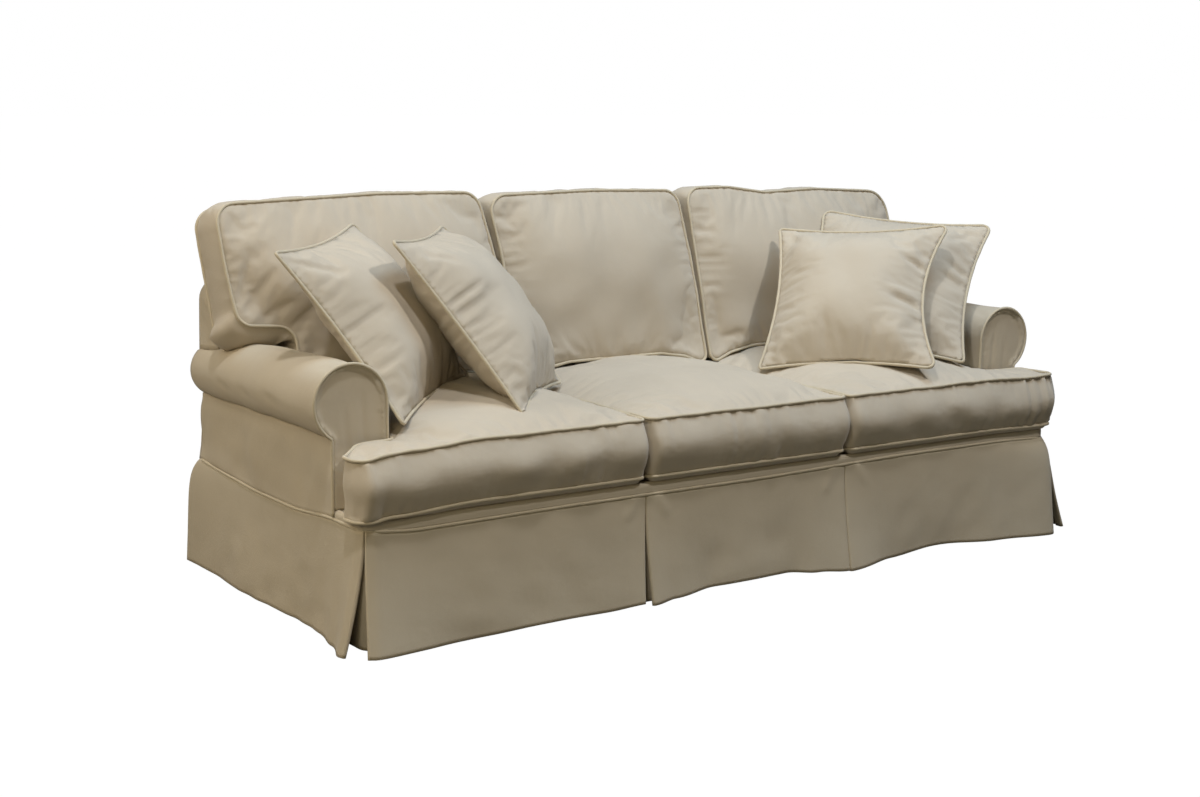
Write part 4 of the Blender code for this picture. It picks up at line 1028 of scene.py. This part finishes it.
def seat_cushions():
    """Three box cushions on the deck, the outer two with an ear in front of the arm."""
    underside = SEAT_BOTTOM - DECK_Z - 2 * GAP
    crowns = (SEAT_CROWN, SEAT_REACH, CROWN_SHARPNESS, 260), (underside, 0.018, CROWN_SHARPNESS, 0)
    half = SEAT_DEPTH / 2

    def place(p, height):
        z = SEAT_MIDDLE + height - along(SINK, p[:, 0])
        wobble = 0.0008 * waves(p, 0.16, 400) + 0.0005 * waves(p, 0.05, 401)
        z = z + wobble * np.clip(height / half, 0, 1)
        return to_points(*p.T, np.maximum(z, DECK_Z + 2 * GAP))

    def rests(part, p, out, height):
        if part == 2:
            return np.maximum(ease((out[:, 1] + 0.6) / 0.4), 0.55)
        return np.full(len(p), float(part))

    for k, (name, outline) in enumerate(SEAT_OUTLINES.items()):
        seed = 410 + 20 * k
        strong = SEAT_STRONG[name]

        def detail(behind, p, away, near):
            if behind:
                return 0.0
            return creases(p, away, near, seed, 0.024, strong, 0.16, SEAT_FOLDS[name])

        def boxing(p, out, share):
            ear = ease((np.abs(p[:, 0]) - 0.93) / 0.06)
            across = 0.005 - 0.003 * ear
            swell = to_points(out[:, 0] * across, out[:, 1] * np.where(out[:, 1] < 0, 0.024, 0.005))
            swell = swell * math.sin(math.pi * share) ** 1.25
            swell = swell + out * lip(SEAT_DEPTH * min(share, 1 - share), 0.001)
            ripple = gathers(p, share, SEAT_DEPTH, seed + 5, 0.0024, 0.03, 0.042, strong)
            slack = 0.0024 * waves(to_points(*p.T, share * 0.13), 0.1, seed + 8)
            ripple = ripple + slack * math.sin(math.pi * share)
            return swell + out * ripple[:, None]

        cushion(f"seat_cushion_{name}", outline, SEAT_DEPTH, crowns, detail, boxing, place, rests)
        seam_cord(f"piping_seat_{name}_top", outline, half, 1, place, (0, 0, 1), seed + 10)
        seam_cord(f"piping_seat_{name}_bottom", outline, -half, -1, place, (0, 0, 1), seed + 11)


def over_seat(x):
    """Height of a back cushion's bottom seam, which rides over the seat's crown."""
    return seat_height(x, FACE_Y) + 2 * PIPING + GAP


def bottom_edge(start, end):
    """Bottom seam of a back cushion between two places, left to right."""
    x = np.linspace(start, end, 9)
    return [(a, b, 0.02) for a, b in zip(x, over_seat(x))]


BACK_OUTLINES = {
    "left": rounded(bottom_edge(-BACK_SIDE, -DIVIDE - WELT_ROOM) + [
        (-DIVIDE - WELT_ROOM - 0.01, 0.72, 0.3), (-0.357 - WELT_ROOM, 0.934, 0.048),
        (-0.64, 0.937, 0.5), (-1.075, 0.922, 0.048), (-1.066, 0.78, 0.5),
        (-1.048, 0.644, 0.04), (-BACK_SIDE, 0.633, 0.045)]),
    "centre": rounded(bottom_edge(-DIVIDE + WELT_ROOM, DIVIDE - WELT_ROOM) + [
        (0.297 - WELT_ROOM, 0.74, 0.3), (0.275 - WELT_ROOM, 0.924, 0.045), (0.0, 0.93, 0.6),
        (-0.34 + WELT_ROOM, 0.924, 0.045), (-0.316 + WELT_ROOM, 0.76, 0.3)]),
    "right": rounded(bottom_edge(DIVIDE + WELT_ROOM, BACK_SIDE) + [
        (BACK_SIDE, 0.633, 0.045), (1.036, 0.644, 0.04), (1.044, 0.78, 0.5),
        (1.032, 0.903, 0.07), (0.76, 0.917, 0.3), (0.58, 0.911, 0.1), (0.45, 0.929, 0.08),
        (0.296 + WELT_ROOM, 0.929, 0.045),
        (0.304 + WELT_ROOM, 0.74, 0.3)]),
}
BACK_OUTLINES = {name: evenly(line, CUSHION_STEP) for name, line in BACK_OUTLINES.items()}


def back_face_y(x, z, full=True):
    """Front of the back cushions, or the plane that it is crowned from."""
    outlines = BACK_OUTLINES.values() if full else ()
    points, rise = crowned(x, z, outlines, BACK_CROWN, BACK_REACH)
    return FACE_Y + LEAN * (points[:, 1] - FACE_Z) - rise


# Creases of the back cushions' fronts: from and to (x, z), half width, height
BACK_FOLDS = {
    "left": (
        (-1.035, 0.665, -0.96, 0.76, 0.01, -0.004), (-1.0, 0.65, -0.9, 0.7, 0.01, -0.004),
        (-1.045, 0.69, -1.01, 0.8, 0.009, -0.003), (-0.95, 0.64, -0.86, 0.65, 0.009, -0.003),
        (-0.33, 0.82, -0.38, 0.8, 0.01, -0.003), (-0.345, 0.7, -0.4, 0.69, 0.01, -0.003),
        (-1.06, 0.9, -1.0, 0.85, 0.012, -0.003)),
    "centre": (
        (-0.31, 0.8, -0.25, 0.79, 0.01, -0.003), (-0.31, 0.7, -0.26, 0.71, 0.01, -0.003),
        (-0.325, 0.88, -0.27, 0.85, 0.01, -0.003), (0.28, 0.83, 0.23, 0.82, 0.01, -0.002)),
    "right": (
        (0.31, 0.82, 0.38, 0.8, 0.01, -0.004), (0.315, 0.74, 0.38, 0.74, 0.01, -0.003),
        (0.315, 0.66, 0.37, 0.67, 0.01, -0.003), (1.02, 0.88, 0.97, 0.83, 0.012, -0.003)),
}
# Stronger gathers of their seams: x, z, how far round, how many times
BACK_STRONG = {
    "left": ((-1.04, 0.65, 0.07, 3.0), (-0.34, 0.76, 0.1, 1.8), (-1.07, 0.9, 0.05, 2.0)),
    "centre": ((-0.31, 0.76, 0.12, 2.4), (0.29, 0.7, 0.1, 1.6), (-0.325, 0.9, 0.05, 2.0)),
    "right": ((0.31, 0.74, 0.14, 2.6), (1.03, 0.88, 0.06, 2.2)),
}


def over_arm(x):
    """How far a place across a back cushion is in its ear, from 0 to 1."""
    return ease((np.abs(x) - BACK_SIDE) / 0.08)


def arm_top(x, y):
    """Top of an arm under places over it."""
    middle, level, radius = roll(y)
    aside = np.minimum(np.abs(np.abs(x) - middle), radius)
    return level + np.sqrt(radius**2 - aside**2)


def back_cushions():
    """Three box cushions against the back, the outer two with an ear over the arm."""
    crowns = ((BACK_CROWN, BACK_REACH, CROWN_SHARPNESS, 160),
              (REAR_ROOM - 2 * GAP, 0.03, CROWN_SHARPNESS, 0))

    def place(p, height):
        """Height 1 is the front seam, 0 the rear seam, and what lies past them is metres."""
        x, z = p.T
        lower = TOP_SINK * ease((z - 0.75) / 0.15)
        lower = lower + EAR_SAG * over_arm(x) * (1.0 - ease((z - 0.66) / 0.12))
        front = back_face_y(x, z, full=False)
        rear = inside_back_y(z - lower) - REAR_ROOM
        share = np.clip(height, 0.0, 1.0)
        y = rear + (front - rear) * share - (height - share)
        y = y + 0.0012 * waves(p, 0.15, 500) * share
        z = z - lower * (1.0 - share)
        on_arm = (np.abs(x) > ARM_INNER) & (z > ROLL_Z)
        return to_points(x, y, np.where(on_arm, np.maximum(z, arm_top(x, y) + CLEAR), z))

    def rests(part, p, out, height):
        if part == 2:
            return 1.0 - 0.8 * ease((out[:, 1] - 0.2) / 0.4)
        return np.full(len(p), float(part))

    for k, (name, outline) in enumerate(BACK_OUTLINES.items()):
        seed = 510 + 20 * k
        strong = BACK_STRONG[name]

        def detail(behind, p, away, near):
            if behind:
                return 0.0
            up = p[:, 1] - over_seat(p[:, 0])
            flat = BACK_FLAT * ease(away / 0.05) * np.exp(-((up - 0.11) / 0.09) ** 2)
            return creases(p, away, near, seed, 0.022, strong, 0.15, BACK_FOLDS[name], flat)

        def boxing(p, out, share):
            size = 0.004 * ease((out[:, 1] + 0.7) / 0.4) + 0.004 * ease((out[:, 1] - 0.3) / 0.4)
            ear = ease((np.abs(p[:, 0]) - BACK_SIDE + 0.03) / 0.03) * (p[:, 1] > 0.6)
            belly = EAR_BELLY * ease((-out[:, 1] - 0.1) / 0.4) * ear
            ripple = gathers(p, share, BACK_DEPTH, seed + 5, 0.0014, 0.024, 0.028, strong)
            ripple = ripple + lip(BACK_DEPTH * min(share, 1 - share), 0.001)
            ripple = ripple * ease((out[:, 1] + 0.7) / 0.4)
            arch = math.sin(math.pi * share)
            return out * (size * arch + belly * math.sqrt(arch) + ripple)[:, None]

        cushion(f"back_cushion_{name}", outline, 1.0, crowns, detail, boxing,
                lambda p, height: place(p, height + 0.5), rests)
        seam_cord(f"piping_back_{name}_front", outline, 1.0, 1, place, (0, 1, 0), seed + 10)
        seam_cord(f"piping_back_{name}_rear", outline, 0.0, -1, place, (0, 1, 0), seed + 11)


def scatter_outline(size, drawn):
    """Square with pointed corners, whose bottom, right, top and left are drawn in so far."""
    half = size / 2
    t = np.array((-0.975, -0.95, -0.9, -0.8, -0.68, -0.52, -0.36, -0.18, 0.0))
    t = np.r_[t, -t[-2::-1]]
    points = []
    for quarter, bow in enumerate(drawn):
        side = to_points(half * t, bow * (1.0 - t * t) - half)
        c, s = round(math.cos(quarter * math.pi / 2)), round(math.sin(quarter * math.pi / 2))
        points.append(side @ np.array(((c, s), (-s, c))))
    return np.vstack(points)


# Size, middle, turn, lean and spin in degrees, half thickness; how far the bottom, right, top and
# left are drawn in; corners that are blunt, as right or left (1 or -1) and top or bottom; stronger
# gathers on the cushion's own square, as u, v, how far round and how many times; folds as from
# and to (u, v), half width and height
SCATTER = {
    "scatter_left_back": (
        0.465, (-0.813, -0.103, 0.673), (38.8, 37.2, 5.2), 0.066, (0.02, 0.02, 0.02, 0.022),
        ((1, 1),), ((-0.23, 0.0, 0.1, 1.8),), ((-0.2, 0.19, -0.13, 0.12, 0.012, -0.004),)),
    "scatter_left_front": (
        0.49, (-0.547, -0.125, 0.664), (47.6, 37.9, 0.1), 0.074, (0.02, 0.012, 0.018, 0.018),
        ((1, 1),), ((-0.23, 0.03, 0.06, 3.2), (0.23, -0.05, 0.1, 2.0)),
        ((-0.215, 0.03, -0.14, 0.02, 0.009, -0.005),
         (-0.215, 0.055, -0.15, 0.055, 0.008, -0.004),
         (-0.2, 0.19, -0.13, 0.12, 0.012, -0.004))),
    "scatter_right_back": (
        0.48, (0.775, -0.119, 0.672), (-49.3, 44.2, -4.8), 0.062, (0.02, 0.032, 0.02, 0.02),
        ((1, 1), (-1, 1)), ((0.24, 0.0, 0.14, 2.4),),
        ((0.2, 0.19, 0.13, 0.12, 0.012, -0.004),
         (0.2, 0.04, 0.15, 0.052, 0.01, -0.008),
         (0.2, 0.0, 0.145, 0.01, 0.01, -0.006))),
    "scatter_right_front": (
        0.47, (0.578, -0.19, 0.6545), (-54.9, 41.9, 4.4), 0.062, (0.02, 0.055, 0.02, 0.024),
        ((1, 1), (1, -1)),
        ((0.23, -0.06, 0.05, 4.0), (0.23, 0.06, 0.05, 3.0), (-0.23, 0.0, 0.1, 1.8),
         (0.0, -0.23, 0.2, 1.6)),
        ((0.182, -0.052, 0.105, -0.036, 0.01, -0.011),
         (0.18, -0.026, 0.1, -0.012, 0.011, 0.006),
         (0.182, 0.076, 0.125, 0.094, 0.009, -0.01),
         (0.19, 0.105, 0.15, 0.15, 0.009, -0.005),
         (0.205, -0.11, 0.13, -0.08, 0.012, -0.006),
         (0.2, 0.19, 0.13, 0.12, 0.012, -0.003),
         (-0.2, 0.19, -0.13, 0.12, 0.012, -0.004))),
}


def scatter_cushion(name, seed):
    """Knife-edge cushion, leaning in its place, pressed flat where it rests."""
    size, centre, (turn, lean, spin), thickness, drawn, blunt, strong, folds = SCATTER[name]
    pose = (Matrix.Translation(centre)
            @ Matrix.Rotation(math.radians(turn), 4, "Z")
            @ Matrix.Rotation(math.radians(90 - lean), 4, "X")
            @ Matrix.Rotation(math.radians(spin), 4, "Z"))
    turned = np.array(pose.to_3x3())
    moved = np.array(pose.translation)
    outline = evenly(scatter_outline(size, drawn), CUSHION_STEP)
    smooth = sum(np.roll(outline, k, 0) for k in range(-3, 4)) / 7
    for u, v in blunt:
        near = np.exp(-(np.linalg.norm(outline - (u * size / 2, v * size / 2), axis=1) / 0.035) ** 4)
        outline = outline + (smooth - outline) * near[:, None]

    def settle(p, height, room=None):
        """Points of the cushion, pushed clear of the seat, the arms and the back cushions."""
        if room is None:
            away = seam_of(p, outline)[0]
            room = CLEAR + 2 * PIPING * np.maximum(1.0 - away / 0.04, 0.0)
        spot = to_points(*p.T, height) @ turned.T + moved
        x, y, z = spot.T.copy()
        z = np.maximum(z, seat_height(x, y) + room)
        y = np.where(z > FACE_Z, np.minimum(y, back_face_y(x, z) - room), y)
        roll_x, roll_z, radius = roll(y)
        aside = np.abs(x) - roll_x
        near_arm = (y > ARM_FRONT - room) & (z > SEAT_TOP)
        keep = radius + room + CLEAR + PIPING
        low = near_arm & (z < roll_z)
        high = near_arm & (z >= roll_z)
        away = np.maximum(np.hypot(aside, z - roll_z), 1e-6)
        push = np.maximum(keep, away) / away
        z = np.where(high, roll_z + (z - roll_z) * push, z)
        aside = np.where(low, np.minimum(aside, -keep), np.where(high, aside * push, aside))
        x = np.where(near_arm, np.copysign(roll_x + aside, x), x)
        return to_points(x, y, z)

    def detail(behind, p, away, near):
        rise = puckers(near, away, seed + behind, 0.002, 0.022, 0.042, strong)
        rise = rise + 0.0026 * waves(p, 0.13, seed + 2 + behind) * ease(away / 0.05)
        if not behind:
            rise = rise + strokes(p, folds) * ease(away / 0.012)
        return rise * ease(away / 0.02)

    crowns = (thickness + 0.016, SCATTER_REACH, 3.0, 40), (thickness, SCATTER_REACH, 2.5, 50)

    def rests(part, p, out, height):
        free = to_points(*p.T, height) @ turned.T + moved
        return ease(np.linalg.norm(settle(p, height) - free, axis=1) / 0.001)

    cushion(name, outline, 0.0, crowns, detail, None, settle, rests)
    line = settle(outline + outward(outline) * SEWN_IN * PIPING, np.zeros(len(outline)),
                  PIPING - GAP)
    welt(f"piping_{name}", line, turned[:, 2], True, seed + 8)


# ---------------- build
back_panels()
deck_panels()
for arm in (("left", -1), ("right", 1)):
    for part in (arm_cover, outside_arm, arm_front, arm_piping):
        part(*arm)
skirt()
seat_cushions()
back_cushions()
for number, scatter in enumerate(SCATTER):
    scatter_cushion(scatter, 600 + 20 * number)
fill_cushions()


# ---------------- floor, light and camera
WHITE = (1.0, 1.0, 1.0, 1.0)
FLOOR_REACH = 60.0

# A pale floor, which the camera itself sees nearly as white as the studio round it
material, tree, shader = new_material("pale studio floor")
put(shader, {"Base Color": (0.165, 0.15, 0.12, 1.0), "Roughness": 1.0})
glow = add(tree, "Emission", {"Color": WHITE, "Strength": 1.09})
seen = add(tree, "LightPath")
share = add(tree, "Math", {1: 0.92}, operation="MULTIPLY")
blend = add(tree, "MixShader")
join(tree, (seen, "Is Camera Ray", share, 0), (share, "Value", blend, "Fac"),
     (shader, "BSDF", blend, 1), (glow, "Emission", blend, 2),
     (blend, "Shader", tree.nodes["Material Output"], "Surface"))
floor_data = bpy.data.meshes.new("studio_floor")
floor_data.from_pydata([(x * FLOOR_REACH, y * FLOOR_REACH, -float(ORIGIN[2]))
                        for x, y in ((-1, -1), (1, -1), (1, 1), (-1, 1))], [], [(0, 1, 2, 3)])
floor_data.materials.append(material)
floor = placed("studio_floor", floor_data)

# The camera sees a white world, which gives hardly any light
world = bpy.data.worlds.new("white studio")
world.use_nodes = True
bpy.context.scene.world = world
tree = world.node_tree
background = tree.nodes["Background"]
put(background, {"Color": WHITE, "Strength": 0.02})
backdrop = add(tree, "Background", {"Color": WHITE})
seen = add(tree, "LightPath")
sky = add(tree, "MixShader")
join(tree, (seen, "Is Camera Ray", sky, "Fac"), (background, "Background", sky, 1),
     (backdrop, "Background", sky, 2), (sky, "Shader", tree.nodes["World Output"], "Surface"))

LAMP_AIM = np.array((0.0, -0.1, 0.4))
LAMP_DISTANCE = 4.5
# Name, degrees round from the front (right is +), degrees up, size, watts, colour
LAMPS = (
    ("key left", -50, 61, 0.22, 60, (1.0, 0.99, 1.0)),
    ("key right", 27, 56, 0.22, 73, (1.0, 0.97, 0.94)),
    ("overhead right", 60, 74, 1.5, 100, (0.54, 0.74, 0.98)),
    ("side left", -100, 25, 2.2, 50, (1.0, 0.82, 0.58)),
    ("rear left", -110, 42, 2.5, 29, (0.78, 0.9, 1.0)),
    ("low front left", -50, 25, 1.6, 28, (1.0, 0.86, 0.56)),
)
for name, round_angle, height_angle, size, watts, colour in LAMPS:
    bearing, height = math.radians(round_angle), math.radians(height_angle)
    way = np.array((math.sin(bearing) * math.cos(height), -math.cos(bearing) * math.cos(height),
                    math.sin(height)))
    data = bpy.data.lights.new(name, "AREA")
    data.size, data.energy, data.color = size, watts, colour
    place, aim = Vector(LAMP_AIM + way * LAMP_DISTANCE - ORIGIN), Vector(LAMP_AIM - ORIGIN)
    turned = (aim - place).to_track_quat("-Z", "Y").to_matrix().to_4x4()
    placed(name, data).matrix_world = Matrix.Translation(place) @ turned

# The camera as fitted to the photograph: degrees, place over the floor, focal length in pixels
YAW, PITCH, TILT = (math.radians(a) for a in (34.201, -9.801, 0.546))
EYE = (-2.708, -3.807, 1.204)
FOCAL, PHOTO_WIDTH, SENSOR = 1806.023, 1200, 36.0
ahead = Vector((math.sin(YAW) * math.cos(PITCH), math.cos(YAW) * math.cos(PITCH), math.sin(PITCH)))
right = Vector((math.cos(YAW), -math.sin(YAW), 0.0))
up = right.cross(ahead)
right, up = (right * math.cos(TILT) + up * math.sin(TILT),
             up * math.cos(TILT) - right * math.sin(TILT))
camera_data = bpy.data.cameras.new("photo camera")
camera_data.lens = FOCAL / PHOTO_WIDTH * SENSOR
camera_data.sensor_width = SENSOR
camera_data.sensor_fit = "HORIZONTAL"
camera_data.clip_end = 500
camera = placed("photo camera", camera_data)
eye = Vector(np.array(EYE) - ORIGIN)
camera.matrix_world = Matrix.Translation(eye) @ Matrix((right, up, -ahead)).transposed().to_4x4()
bpy.context.scene.camera = camera
bpy.context.scene.view_settings.view_transform = "Standard"

bpy.context.view_layer.update()
